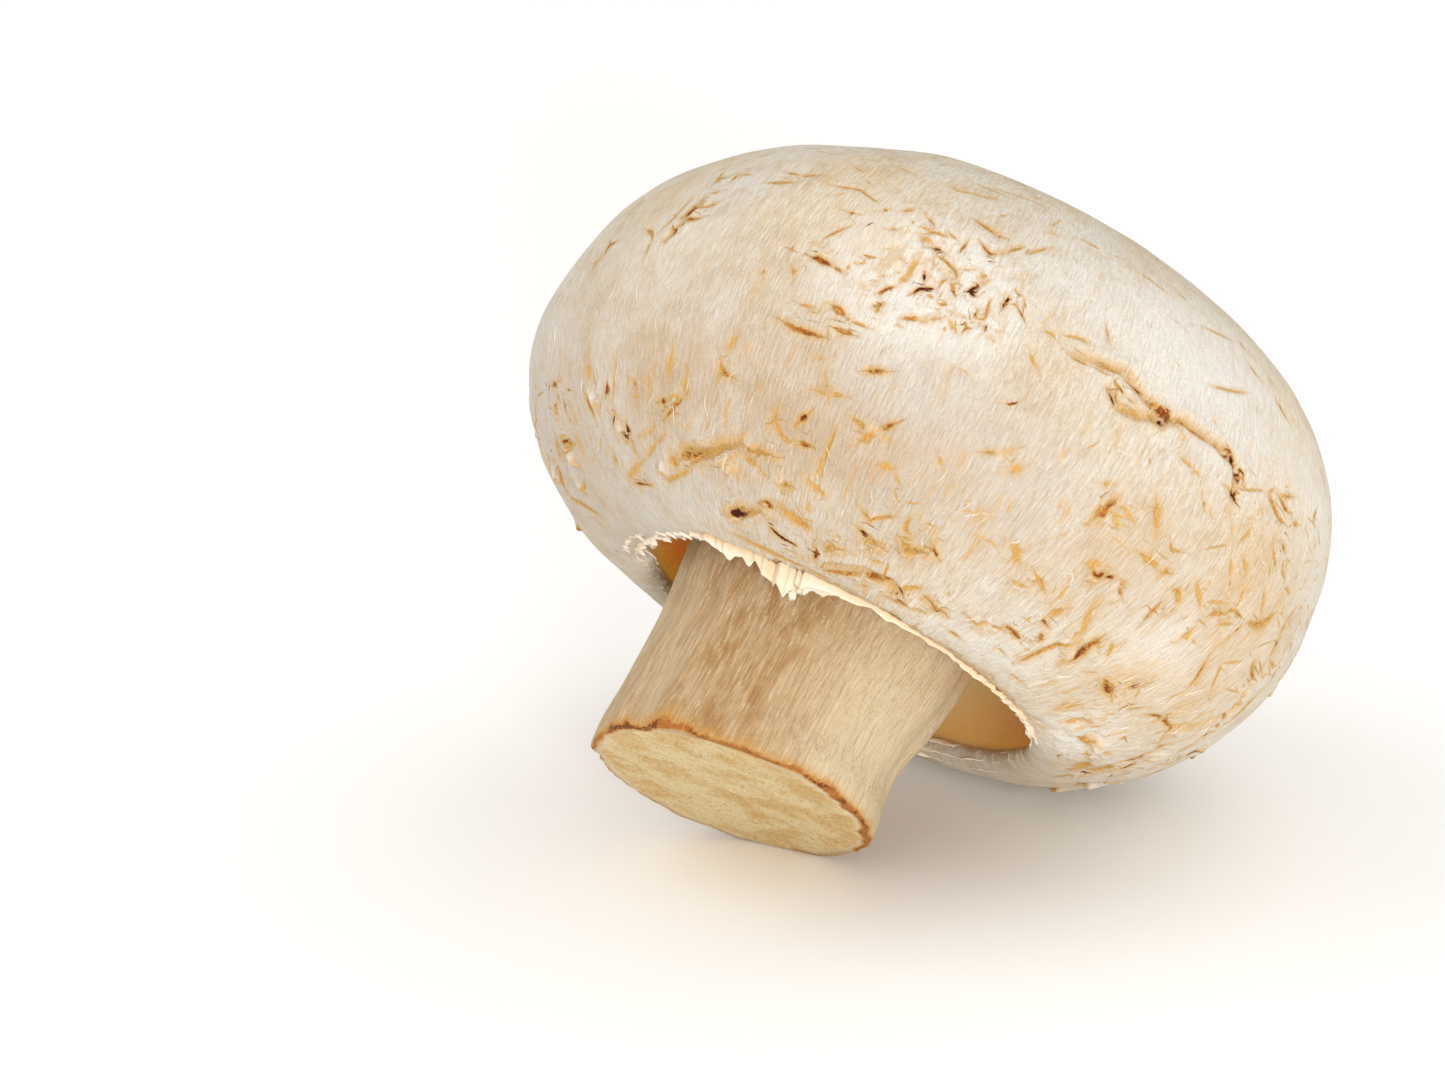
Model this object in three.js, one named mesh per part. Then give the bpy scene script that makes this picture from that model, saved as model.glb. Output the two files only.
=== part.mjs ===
// A cultivated button mushroom, picked and cut, lying on its side.
//
// The cap, its torn veil margin and the stem grew as one body, so the part is one closed solid.
// It is drawn upright first, about its own axis: z = 0 at the cut end of the stem, the cap above.
// A point of the surface is named by its azimuth round that axis and by its run, the distance
// along the outline from the top of the cap, down over the rim, through the groove under the cap
// and down the stem to the middle of the cut. Azimuth 0 is +X. Lengths are in mm.

import * as THREE from 'three';
import { mergeVertices } from 'three/addons/utils/BufferGeometryUtils.js';

const { degToRad: deg, smoothstep } = THREE.MathUtils;

// ---- driving dimensions: cap ----
const CAP_RADIUS = 26.4;
const DOME_HEIGHT = 17.5; // top of the cap above its widest ring
const WIDEST_Z = 23.3;
const UNDERSIDE_Z = 10.6; // lowest ring of the cap
const UNDERSIDE_RADIUS = 15.2;
const DOME_FULLNESS = [0.763, 0.564]; // how far the dome stays flat, then upright
const FLANK_FULLNESS = [0.609, 0.3]; // the same below the widest ring
const CAP_SHIFT = [-1.4, -0.2]; // middle of the cap from the stem's axis
const CAP_TILT = [-0.06, 0.066]; // rise per mm along X and Y
const CAP_LOBES = [[3, 0.0104, -13], [4, 0.0161, -29]]; // waves round, share of radius, peak azimuth

// ---- driving dimensions: torn margin and groove ----
const MARGIN_RADIUS = 13.9;
const LIP = 0.9; // thickness of the rolled margin
const GROOVE_RADIUS = 15.2;
const GROOVE_TOP_Z = 15.4;
const SHRED_COUNT = 64; // torn tags round the margin
const SHRED_REACH = 0.9;
const SHRED_ROOT = [2.5, 0.8]; // run above and below the lowest ring over which the tags grow
const SHRED_FADE = [-0.3, 2]; // and round the lip's end, over which they fade
const HANGING_SHRED = { azimuth: 70, width: 26, reach: 1.1 };

// ---- driving dimensions: stem ----
const STEM_TOP_RADIUS = 9.9;
const STEM_TOP_Z = 13.6;
const WAIST_RADIUS = 9.0;
const WAIST_Z = 4.6;
const WAIST_REACH = 3;
const WAIST_BULGE = 0.35; // the waist is fuller on the +X side by this much
const CUT_RADIUS = 9.3;
const CUT_EDGE = 0.7; // rounding of the cut's edge
const CUT_SLOPE = [-0.13, 0.09];
const CUT_OFFSET = -0.5;
const CUT_SLOPE_REACH = 7;
const STEM_RIBS = [[11, 0.07, 20], [17, 0.06, 70], [29, 0.05, 10]]; // count, height, azimuth

// ---- driving dimensions: how it lies ----
const UP_AZIMUTH = 50.4; // the side of the mushroom that faces up
const REST_SPOT_DEPTH = 0.32; // flesh pressed flat where the cap rests
const REST_EDGE_DEPTH = 0.3; // and where the cut's edge rests
const CAP_REST_START = 4; // the cap rests below this far above its widest ring
const LEAN_LIMITS = [20, 70]; // degrees that the axis can rise by
const LEAN_STEPS = 14;

// ---- driving dimensions: relief of the skin ----
// Each flake is a tag of skin torn loose at its tip: azimuth and run of the tip, the way the tip
// points (0 down the cap, 90 towards growing azimuth), length, width at the root, height of the tip.
const FLAKES = [
  [58, 47.5, 70, 5.6, 3.4, 0.75], [42, 49, -30, 3.2, 2.2, 0.5], [31, 46.6, 10, 2.6, 2.0, 0.55],
  [24, 45, 25, 2.6, 1.6, 0.4], [62, 46, 45, 2.4, 1.8, 0.45], [68, 47.5, 30, 2.8, 1.8, 0.5],
  [66, 50, 15, 2.6, 2.2, 0.55], [58, 51.3, 5, 2.4, 2.0, 0.6], [80, 42.3, 75, 3.2, 1.5, 0.5],
  [84, 47, -20, 2.4, 1.8, 0.5], [85, 49, 40, 3.0, 2.2, 0.6], [92, 48, 35, 3.4, 2.4, 0.65],
  [96, 47.2, 20, 2.4, 1.6, 0.5], [80, 50.5, -10, 2.2, 2.0, 0.5], [98, 51.3, 30, 2.4, 2.0, 0.5],
  [102, 50.4, 10, 2.6, 1.8, 0.55], [110, 49.8, 50, 3.2, 1.8, 0.5], [117, 46.8, 30, 2.6, 1.8, 0.5],
  [111, 45.2, 25, 2.4, 1.6, 0.45], [107, 44.6, 20, 2.2, 1.6, 0.45], [118, 43.4, 15, 3.0, 2.2, 0.6],
  [123, 43.6, 40, 2.2, 1.4, 0.4], [126, 47.6, 60, 4.6, 2.2, 0.6], [137, 47.6, 35, 2.6, 1.6, 0.45],
  [113, 40.6, 10, 2.2, 1.6, 0.35], [136, 43, 20, 2.2, 1.6, 0.4], [96, 40.5, 60, 1.8, 1.2, 0.35],
  [8, 48.3, 20, 3.4, 2.0, 0.55], [352, 48.3, -10, 2.6, 1.8, 0.5], [4, 50.4, 15, 2.6, 1.6, 0.45],
  [145, 49.6, 40, 5.2, 4.6, 0.8], [155, 50.6, 20, 3.6, 3.2, 0.7], [36, 33, -20, 3.0, 1.6, 0.35],
  [62, 33.6, 60, 2.6, 1.6, 0.45], [69, 38, 70, 2.8, 1.4, 0.4], [64, 38.6, 80, 2.2, 1.2, 0.35],
  [46, 44.6, 10, 2.4, 1.4, 0.35], [160, 46, 30, 3.0, 1.8, 0.45], [168, 47.6, 20, 3.0, 1.6, 0.45],
];
// More flakes, drawn at random on the side of the cap that the list leaves bare.
const LOOSE_FLAKES = {
  draws: 150, azimuths: [172, 350], runs: [28, 51], length: [1.8, 3.8], width: 0.6, height: [0.3, 0.6],
};
const LOOSE_FLAKE_TURN = [-40, 55];
const FLAKE_GAP = 4.2; // least distance from one flake to the next
const FLAKE_REACH = 1.3; // a flake shapes nothing farther from its tip than this many lengths
const FLAKE_ROOT = 0.35; // width of a flake's root, as a share of its widest
const FLAKE_RISE = 1.4; // power by which it rises towards the tip
const PIT = { start: 0.25, end: 0.5, depth: 0.5 }; // pit past the tip, as shares of length and height
// Cracks in the skin, as azimuth and run of each bend.
const CRACKS = [
  [[99, 33.2], [106.5, 32.4], [109.5, 33.2], [114, 34],
    [117, 33.2], [123, 33], [127.5, 33.5], [129, 35.2]],
  [[105, 34], [108, 34.8], [114, 34]],
  [[79.5, 52], [87, 50.8], [91.5, 50.6], [94.5, 51]],
  [[36, 30.4], [36, 32.7], [34, 33.8]],
  [[156, 46], [160, 44.6], [163, 42.5], [158, 41.2]],
  [[350, 42.5], [352, 44.5], [349, 46.4]],
  [[248, 36], [256, 35], [262, 36.2], [270, 35.6]],
  [[196, 40], [203, 41.5], [207, 44]],
];
const CRACK_DEPTH = 0.45;
const CRACK_WIDTH = 0.75; // from its middle to its edge
// The skin has burst into small raised scales here.
const SCALE_PATCHES = [
  { azimuth: 76, run: 32.8, across: 8.2, down: 5.4, scales: 46, height: 0.5 },
  { azimuth: 262, run: 24, across: 6.2, down: 5.0, scales: 30, height: 0.45 },
];
const PATCH_FADE = [0.7, 1.1]; // shares of a patch's size between which its scales die out
const FURROW_WIDTH = 0.9;

// ---- driving dimensions: size of the facets ----
const FACET = {
  plain: 3.6, flake: 1.3, crack: 1.1, scales: 1.2, margin: 1.1, rest: 1.4, cutRest: 0.6, rim: 1.0,
};
// How far from its middle each of these reaches.
const FACET_REACH = { margin: 1.9, rim: 1.2, rest: 5, cutRest: 3, flake: 0.7 };
const NET_DETAIL = 12; // how often each side of the icosahedron is divided before any splitting
const SPLIT_PASSES = 3;

// ---- outline, from the top of the cap to the middle of the cut ----
const V = (r, z) => new THREE.Vector2(r, z);

function makeOutline() {
  const top = WIDEST_Z + DOME_HEIGHT;
  const flank = WIDEST_Z - UNDERSIDE_Z;
  const under = CAP_RADIUS - UNDERSIDE_RADIUS;
  const lipEnd = V(MARGIN_RADIUS + 0.7 * LIP, UNDERSIDE_Z + 1.5 * LIP);
  const corners = [
    [V(0, top), V(DOME_FULLNESS[0] * CAP_RADIUS, top),
      V(CAP_RADIUS, WIDEST_Z + DOME_FULLNESS[1] * DOME_HEIGHT), V(CAP_RADIUS, WIDEST_Z)],
    [V(CAP_RADIUS, WIDEST_Z), V(CAP_RADIUS, WIDEST_Z - FLANK_FULLNESS[0] * flank),
      V(UNDERSIDE_RADIUS + FLANK_FULLNESS[1] * under, UNDERSIDE_Z),
      V(UNDERSIDE_RADIUS, UNDERSIDE_Z)],
    [V(UNDERSIDE_RADIUS, UNDERSIDE_Z), V(MARGIN_RADIUS, UNDERSIDE_Z),
      V(MARGIN_RADIUS - 0.3 * LIP, UNDERSIDE_Z + LIP), lipEnd],
    [lipEnd, V(GROOVE_RADIUS + LIP, UNDERSIDE_Z + 4 * LIP),
      V(GROOVE_RADIUS, GROOVE_TOP_Z), V((GROOVE_RADIUS + STEM_TOP_RADIUS) / 2, GROOVE_TOP_Z)],
    [V((GROOVE_RADIUS + STEM_TOP_RADIUS) / 2, GROOVE_TOP_Z),
      V(STEM_TOP_RADIUS + LIP, GROOVE_TOP_Z), V(STEM_TOP_RADIUS, GROOVE_TOP_Z - 2 * LIP),
      V(STEM_TOP_RADIUS, STEM_TOP_Z)],
    [V(STEM_TOP_RADIUS, STEM_TOP_Z), V(STEM_TOP_RADIUS, STEM_TOP_Z - 4 * LIP),
      V(WAIST_RADIUS, WAIST_Z + 4 * LIP), V(WAIST_RADIUS, WAIST_Z)],
    [V(WAIST_RADIUS, WAIST_Z), V(WAIST_RADIUS, WAIST_Z / 2),
      V(CUT_RADIUS, WAIST_Z / 2), V(CUT_RADIUS, CUT_EDGE)],
    [V(CUT_RADIUS, CUT_EDGE), V(CUT_RADIUS, 0), V(CUT_RADIUS, 0), V(CUT_RADIUS - CUT_EDGE, 0)],
    [V(CUT_RADIUS - CUT_EDGE, 0), V(CUT_RADIUS / 2, 0), V(CUT_RADIUS / 4, 0), V(0, 0)],
  ];
  const path = new THREE.CurvePath();
  for (const c of corners) path.add(new THREE.CubicBezierCurve(...c));
  return path;
}

const OUTLINE_STEPS = 900;
const outlineCurve = makeOutline();
const outlineLength = outlineCurve.getLength();
const outline = outlineCurve.getSpacedPoints(OUTLINE_STEPS);

function outlineAt(run) {
  const f = THREE.MathUtils.clamp(run / outlineLength, 0, 1) * OUTLINE_STEPS;
  const i = Math.min(Math.floor(f), OUTLINE_STEPS - 1);
  return outline[i].clone().lerp(outline[i + 1], f - i);
}

// where each stretch of the outline ends, as a run
const [domeEnd, flankEnd, lipEnd, wallEnd, roofEnd, , waistEnd, edgeEnd] = outlineCurve.getCurveLengths();

// ---- seeded random draws ----
function makeRandom(seed) {
  let state = seed;
  return () => {
    state = (state + 0x6d2b79f5) | 0;
    let t = Math.imul(state ^ (state >>> 15), 1 | state);
    t = (t + Math.imul(t ^ (t >>> 7), 61 | t)) ^ t;
    return ((t ^ (t >>> 14)) >>> 0) / 2 ** 32;
  };
}

// ---- torn margin: tags of skin and veil that reach in towards the stem ----
const shredRandom = makeRandom(11);
const shreds = Array.from({ length: SHRED_COUNT }, () => shredRandom() ** 1.5);

function shredReach(azimuth) {
  const turn = THREE.MathUtils.euclideanModulo(azimuth / (2 * Math.PI), 1) * SHRED_COUNT;
  const cell = Math.floor(turn);
  const tag = shreds[cell] * (1 - Math.abs(2 * (turn - cell) - 1));
  const off = Math.cos(azimuth - deg(HANGING_SHRED.azimuth));
  const hang = smoothstep(off, Math.cos(deg(HANGING_SHRED.width)), 1);
  return SHRED_REACH * tag + HANGING_SHRED.reach * hang * (1 + tag) / 2;
}

// ---- smooth body ----
function bodyPoint(azimuth, run) {
  const { x: outlineRadius, y: outlineZ } = outlineAt(run);
  const capShare = 1 - smoothstep(run, lipEnd, wallEnd);
  const tiltShare = run < flankEnd ? smoothstep(outlineZ, UNDERSIDE_Z, WIDEST_Z) : 0;
  const stemShare = smoothstep(run, wallEnd, roofEnd);
  const marginShare = smoothstep(run, flankEnd - SHRED_ROOT[0], flankEnd + SHRED_ROOT[1])
    * (1 - smoothstep(run, lipEnd + SHRED_FADE[0], lipEnd + SHRED_FADE[1]));
  const waistShare = stemShare * Math.exp(-(((outlineZ - WAIST_Z) / WAIST_REACH) ** 2));

  let radius = outlineRadius;
  for (const [count, size, peak] of CAP_LOBES) {
    radius *= 1 + capShare * size * Math.cos(count * (azimuth - deg(peak)));
  }
  for (const [count, size, peak] of STEM_RIBS) {
    const wave = Math.cos(count * (azimuth - deg(peak)));
    radius += stemShare * size * (outlineRadius / CUT_RADIUS) * wave;
  }
  radius += waistShare * WAIST_BULGE * Math.cos(azimuth) - marginShare * shredReach(azimuth);

  const p = new THREE.Vector3(radius * Math.cos(azimuth), radius * Math.sin(azimuth), outlineZ);
  const tilt = CAP_TILT[0] * p.x + CAP_TILT[1] * p.y;
  const lean = tiltShare * (outlineZ - WIDEST_Z);
  const slope = CUT_SLOPE[0] * p.x + CUT_SLOPE[1] * p.y + CUT_OFFSET;
  p.z += tiltShare * tilt + stemShare * slope * (1 - smoothstep(outlineZ, 0, CUT_SLOPE_REACH));
  p.x += capShare * CAP_SHIFT[0] - CAP_TILT[0] * lean;
  p.y += capShare * CAP_SHIFT[1] - CAP_TILT[1] * lean;
  return p;
}

// Each point of the body answers to a direction of a unit sphere: the top of the cap to +Z,
// the middle of the cut to -Z, and a run in between to its share of the way from pole to pole.
function bodyAt(direction) {
  const polar = Math.acos(THREE.MathUtils.clamp(direction.z, -1, 1));
  return bodyPoint(Math.atan2(direction.y, direction.x), (polar / Math.PI) * outlineLength);
}

const NUDGE = 0.004; // step to either side, in radians, that a slope is measured over
function normalAt(direction) {
  const across = new THREE.Vector3(direction.z, direction.x, direction.y).cross(direction).normalize();
  const along = direction.clone().cross(across);
  const moved = (way, size) => bodyAt(direction.clone().addScaledVector(way, size).normalize());
  const a = moved(across, NUDGE).sub(moved(across, -NUDGE));
  const b = moved(along, NUDGE).sub(moved(along, -NUDGE));
  return a.cross(b).normalize();
}

// ---- relief ----
const FRAME_STEP = 0.2;
function surfaceFrame(azimuth, run) {
  const at = bodyPoint(azimuth, run);
  const down = bodyPoint(azimuth, run + FRAME_STEP).sub(bodyPoint(azimuth, run - FRAME_STEP)).normalize();
  const turn = FRAME_STEP / Math.max(Math.hypot(at.x, at.y), FRAME_STEP);
  const across = bodyPoint(azimuth + turn, run).sub(bodyPoint(azimuth - turn, run)).normalize();
  return { at, down, across };
}

function makeFlake([azimuth, run, turn, length, width, height]) {
  const { at, down, across } = surfaceFrame(deg(azimuth), run);
  const [cos, sin] = [Math.cos(deg(turn)), Math.sin(deg(turn))];
  const tip = down.clone().multiplyScalar(cos).addScaledVector(across, sin);
  const side = across.clone().multiplyScalar(cos).addScaledVector(down, -sin);
  return { at, tip, side, length, width, height };
}

// A flake rises from its root to its tip, then drops into the pit that it was torn from.
function flakeRelief(flake, p) {
  const from = p.clone().sub(flake.at);
  const along = from.dot(flake.tip) / flake.length;
  if (along < -1 || along > PIT.end || from.length() > FLAKE_REACH * flake.length) return 0;
  const halfWidth = 0.5 * flake.width * (along < 0 ? FLAKE_ROOT - (1 - FLAKE_ROOT) * along : 0.5);
  const across = from.dot(flake.side) / halfWidth;
  if (Math.abs(across) > 1) return 0;
  const edge = 1 - across ** 2;
  if (along < 0) return flake.height * edge * (1 + along) ** FLAKE_RISE;
  const drop = along < PIT.start
    ? 1 - (1 + PIT.depth) * (along / PIT.start)
    : -PIT.depth * (PIT.end - along) / (PIT.end - PIT.start);
  return flake.height * edge * drop;
}

function makeFlakes() {
  const random = makeRandom(23);
  const between = ([low, high]) => low + (high - low) * random();
  const list = FLAKES.map(makeFlake);
  for (let draw = 0; draw < LOOSE_FLAKES.draws; draw += 1) {
    const length = between(LOOSE_FLAKES.length);
    const width = length * LOOSE_FLAKES.width;
    const turn = between(LOOSE_FLAKE_TURN);
    const flake = makeFlake([between(LOOSE_FLAKES.azimuths), between(LOOSE_FLAKES.runs), turn,
      length, width, between(LOOSE_FLAKES.height)]);
    if (list.every((other) => other.at.distanceTo(flake.at) > FLAKE_GAP)) list.push(flake);
  }
  return list;
}

const flakes = makeFlakes();
const cracks = CRACKS.map((bends) => bends.map(([azimuth, run]) => bodyPoint(deg(azimuth), run)));

function crackDistance(crack, p) {
  let nearest = Infinity;
  for (let i = 1; i < crack.length; i += 1) {
    const foot = new THREE.Vector3();
    new THREE.Line3(crack[i - 1], crack[i]).closestPointToPoint(p, true, foot);
    nearest = Math.min(nearest, foot.distanceTo(p));
  }
  return nearest;
}

const PATCH_SEED = 40;
function makePatch({ azimuth, run, across: wide, down: tall, scales, height }, index) {
  const frame = surfaceFrame(deg(azimuth), run);
  const random = makeRandom(PATCH_SEED + index);
  const centres = Array.from({ length: scales }, () => {
    const ring = Math.sqrt(random());
    const turn = 2 * Math.PI * random();
    return [wide * ring * Math.cos(turn), tall * ring * Math.sin(turn)];
  });
  return { ...frame, wide, tall, centres, height };
}

const patches = SCALE_PATCHES.map(makePatch);

// Share of the patch's height left at p: 1 in the middle, 0 outside.
function patchShare(patch, x, y) {
  return 1 - smoothstep(Math.hypot(x / patch.wide, y / patch.tall), ...PATCH_FADE);
}

// Raised scales with a furrow half way between each and the next.
function patchRelief(patch, p) {
  const from = p.clone().sub(patch.at);
  const x = from.dot(patch.across);
  const y = from.dot(patch.down);
  const share = patchShare(patch, x, y);
  if (share === 0 || from.length() > patch.wide + patch.tall) return 0;
  let [first, second] = [Infinity, Infinity];
  for (const [cx, cy] of patch.centres) {
    const far = Math.hypot(x - cx, y - cy);
    if (far < first) [first, second] = [far, first];
    else if (far < second) second = far;
  }
  return share * patch.height * (smoothstep(second - first, 0, FURROW_WIDTH) - 0.5);
}

function reliefAt(p) {
  let relief = 0;
  for (const flake of flakes) relief += flakeRelief(flake, p);
  for (const patch of patches) relief += patchRelief(patch, p);
  for (const crack of cracks) {
    relief -= CRACK_DEPTH * Math.max(0, 1 - crackDistance(crack, p) / CRACK_WIDTH);
  }
  return relief;
}

// ---- how it lies ----
const up = new THREE.Vector3(Math.cos(deg(UP_AZIMUTH)), Math.sin(deg(UP_AZIMUTH)), 0);
const side = new THREE.Vector3(0, 0, 1).cross(up);

// Turns the upright mushroom onto its side: the stem points to -X, its axis rises by lean.
function lay(p, lean) {
  const [along, high] = [p.z, p.dot(up)];
  return new THREE.Vector3(
    along * Math.cos(lean) - high * Math.sin(lean),
    -p.dot(side),
    along * Math.sin(lean) + high * Math.cos(lean),
  );
}

// The lowest point of the laid body between two runs.
function lowest(runs, lean) {
  let low = new THREE.Vector3(0, 0, Infinity);
  for (let azimuth = 0; azimuth < 360; azimuth += 1) {
    for (let run = runs[0]; run <= runs[1]; run += FRAME_STEP) {
      const p = lay(bodyPoint(deg(azimuth), run), lean);
      if (p.z < low.z) low = p;
    }
  }
  return low;
}

const capRuns = [domeEnd - CAP_REST_START, flankEnd];
const cutRuns = [waistEnd, outlineLength];

// The axis rises until the flank of the cap and the edge of the cut both reach the table.
function restingLean() {
  let [low, high] = LEAN_LIMITS.map(deg);
  for (let i = 0; i < LEAN_STEPS; i += 1) {
    const middle = (low + high) / 2;
    const capLow = lowest(capRuns, middle).z + REST_SPOT_DEPTH;
    const cutLow = lowest(cutRuns, middle).z + REST_EDGE_DEPTH;
    if (capLow < cutLow) low = middle;
    else high = middle;
  }
  return (low + high) / 2;
}

const lean = restingLean();
const capRest = lowest(capRuns, lean);
const cutRest = lowest(cutRuns, lean);
const tableZ = capRest.z + REST_SPOT_DEPTH;

// ---- facets ----
// Length that an edge may have round the point p of the smooth body.
function facetAt(p, run) {
  let size = FACET.plain;
  if (Math.abs(run - (flankEnd + lipEnd) / 2) < FACET_REACH.margin) size = FACET.margin;
  if (Math.abs(run - edgeEnd + CUT_EDGE / 2) < FACET_REACH.rim) size = FACET.rim;
  const laid = lay(p, lean);
  if (laid.distanceTo(capRest) < FACET_REACH.rest) size = Math.min(size, FACET.rest);
  if (laid.distanceTo(cutRest) < FACET_REACH.cutRest) size = Math.min(size, FACET.cutRest);
  for (const flake of flakes) {
    const middle = flake.at.clone().addScaledVector(flake.tip, -0.3 * flake.length);
    if (p.distanceTo(middle) < FACET_REACH.flake * flake.length) size = Math.min(size, FACET.flake);
  }
  for (const patch of patches) {
    const from = p.clone().sub(patch.at);
    const near = patchShare(patch, from.dot(patch.across), from.dot(patch.down)) > 0.1;
    if (near && from.length() < patch.wide + patch.tall) size = Math.min(size, FACET.scales);
  }
  for (const crack of cracks) {
    if (crackDistance(crack, p) < CRACK_WIDTH) size = Math.min(size, FACET.crack);
  }
  return size;
}

// Splits every edge of a closed net that is too long, and the triangles on both of its sides
// alike, a few times over. The net starts as an icosahedron's and lies on the unit sphere.
const WELD_DISTANCE = 1e-5;
function makeNet() {
  const start = new THREE.IcosahedronGeometry(1, NET_DETAIL);
  start.deleteAttribute('normal');
  start.deleteAttribute('uv');
  const merged = mergeVertices(start, WELD_DISTANCE);
  const place = merged.getAttribute('position');
  const net = { directions: [], points: [], triangles: [] };
  const add = (direction) => {
    net.directions.push(direction);
    net.points.push(bodyAt(direction));
    return net.points.length - 1;
  };
  for (let i = 0; i < place.count; i += 1) {
    add(new THREE.Vector3().fromBufferAttribute(place, i).normalize());
  }
  const corners = merged.getIndex().array;
  for (let i = 0; i < corners.length; i += 3) net.triangles.push([...corners.slice(i, i + 3)]);

  for (let pass = 0; pass < SPLIT_PASSES; pass += 1) {
    const halves = new Map();
    const half = (a, b) => {
      const key = a < b ? `${a} ${b}` : `${b} ${a}`;
      if (!halves.has(key)) {
        const direction = net.directions[a].clone().add(net.directions[b]).normalize();
        const run = (Math.acos(direction.z) / Math.PI) * outlineLength;
        const long = net.points[a].distanceTo(net.points[b]) > facetAt(bodyAt(direction), run);
        halves.set(key, long ? add(direction) : -1);
      }
      return halves.get(key);
    };
    const next = [];
    for (const [a, b, c] of net.triangles) {
      next.push(...splitTriangle([a, b, c], [half(a, b), half(b, c), half(c, a)]));
    }
    net.triangles = next;
  }
  return net;
}

// The pieces of one triangle whose sides are halved at the given points, or whole where -1.
function splitTriangle(corners, halves) {
  const count = halves.filter((i) => i >= 0).length;
  if (count === 0) return [corners];
  if (count === 3) {
    const [[a, b, c], [ab, bc, ca]] = [corners, halves];
    return [[a, ab, ca], [ab, b, bc], [ca, bc, c], [ab, bc, ca]];
  }
  // turn the triangle so that its first side is halved, and with two halves its last side isn't
  const turn = halves.findIndex((half, i) => half >= 0 && halves[(i + 2) % 3] < 0);
  const [a, b, c] = [0, 1, 2].map((i) => corners[(i + turn) % 3]);
  const [ab, bc] = [0, 1].map((i) => halves[(i + turn) % 3]);
  if (bc < 0) return [[a, ab, c], [ab, b, c]];
  return [[ab, b, bc], [a, ab, bc], [a, bc, c]];
}

// ---- the solid ----
function makeMushroom() {
  const net = makeNet();
  const points = net.points.map((p, i) => {
    const raised = p.clone().addScaledVector(normalAt(net.directions[i]), reliefAt(p));
    const laid = lay(raised, lean);
    laid.z = Math.max(laid.z - tableZ, 0);
    return laid;
  });
  const middle = new THREE.Box3().setFromPoints(points).getCenter(new THREE.Vector3());
  const geometry = new THREE.BufferGeometry();
  const positions = points.flatMap((p) => [p.x - middle.x, p.y - middle.y, p.z]);
  geometry.setAttribute('position', new THREE.Float32BufferAttribute(positions, 3));
  geometry.setIndex(net.triangles.flat());
  geometry.computeVertexNormals();
  return geometry;
}

const mushroomFlesh = new THREE.MeshStandardMaterial({ color: 0xeadcc6, roughness: 0.7, metalness: 0 });
const mushroom = new THREE.Mesh(makeMushroom(), mushroomFlesh);
mushroom.name = 'mushroom';

const part = new THREE.Group();
part.add(mushroom);

export default part;
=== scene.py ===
"""Looks of the button mushroom: skin, tears, veil margin, stem and cut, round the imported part."""

import math

import bmesh
import bpy
import numpy as np
from mathutils import Matrix, Vector, kdtree


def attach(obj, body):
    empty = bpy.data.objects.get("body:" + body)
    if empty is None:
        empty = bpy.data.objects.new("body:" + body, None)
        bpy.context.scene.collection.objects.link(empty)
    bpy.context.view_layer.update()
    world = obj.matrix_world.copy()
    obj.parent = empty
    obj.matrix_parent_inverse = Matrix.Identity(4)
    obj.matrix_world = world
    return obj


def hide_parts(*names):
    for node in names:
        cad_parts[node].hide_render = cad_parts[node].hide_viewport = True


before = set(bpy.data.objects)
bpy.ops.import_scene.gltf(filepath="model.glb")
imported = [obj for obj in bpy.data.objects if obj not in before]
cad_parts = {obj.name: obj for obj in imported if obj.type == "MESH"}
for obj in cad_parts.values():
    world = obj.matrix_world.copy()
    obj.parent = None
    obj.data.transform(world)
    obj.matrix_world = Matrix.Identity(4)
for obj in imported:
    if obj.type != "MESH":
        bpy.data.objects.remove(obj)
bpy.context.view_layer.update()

MM = 0.001

# ---- shape of the smooth body, the same as in the part (mm) ----
CAP_RADIUS = 26.4
DOME_HEIGHT = 17.5
WIDEST_Z = 23.3
UNDERSIDE_Z = 10.6
UNDERSIDE_RADIUS = 15.2
DOME_FULLNESS = (0.763, 0.564)
FLANK_FULLNESS = (0.609, 0.3)
CAP_SHIFT = (-1.4, -0.2)
CAP_TILT = (-0.06, 0.066)
CAP_LOBES = ((3, 0.0104, -13), (4, 0.0161, -29))
MARGIN_RADIUS = 13.9
LIP = 0.9
GROOVE_RADIUS = 15.2
GROOVE_TOP_Z = 15.4
SHRED_COUNT = 64
SHRED_REACH = 0.9
SHRED_SHARPNESS = 1.5
# the shreds are pushed unevenly round the margin: waves per turn, shift in shreds, phase
SHRED_WARP = ((5, 1.6, 1.0), (13, 0.9, 2.6), (29, 0.45, 0.7))
SHRED_CALM, SHRED_CALM_AZIMUTH = 0.75, 192
HANGING_AZIMUTH, HANGING_WIDTH, HANGING_REACH = 70, 26, 1.1
STEM_TOP_RADIUS = 9.9
STEM_TOP_Z = 13.6
WAIST_RADIUS = 9.0
WAIST_Z = 4.6
WAIST_REACH = 3
WAIST_BULGE = 0.35
CUT_RADIUS = 9.3
CUT_EDGE = 0.7
CUT_SLOPE = (-0.13, 0.09)
CUT_OFFSET = -0.5
CUT_SLOPE_REACH = 7
STEM_RIBS = ((11, 0.07, 20), (17, 0.06, 70), (29, 0.05, 10))

# ---- how it lies ----
UP_AZIMUTH = 50.4
LEAN = 44.96185
TABLE_Z = -6.5221
MIDDLE = (17.0185, -0.7113)

# ---- seeds ----
SHRED_SEED, FLAKE_SEED, PATCH_SEED, FINE_SEED, TEAR_SEED = 11, 23, 40, 90, 77

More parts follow.
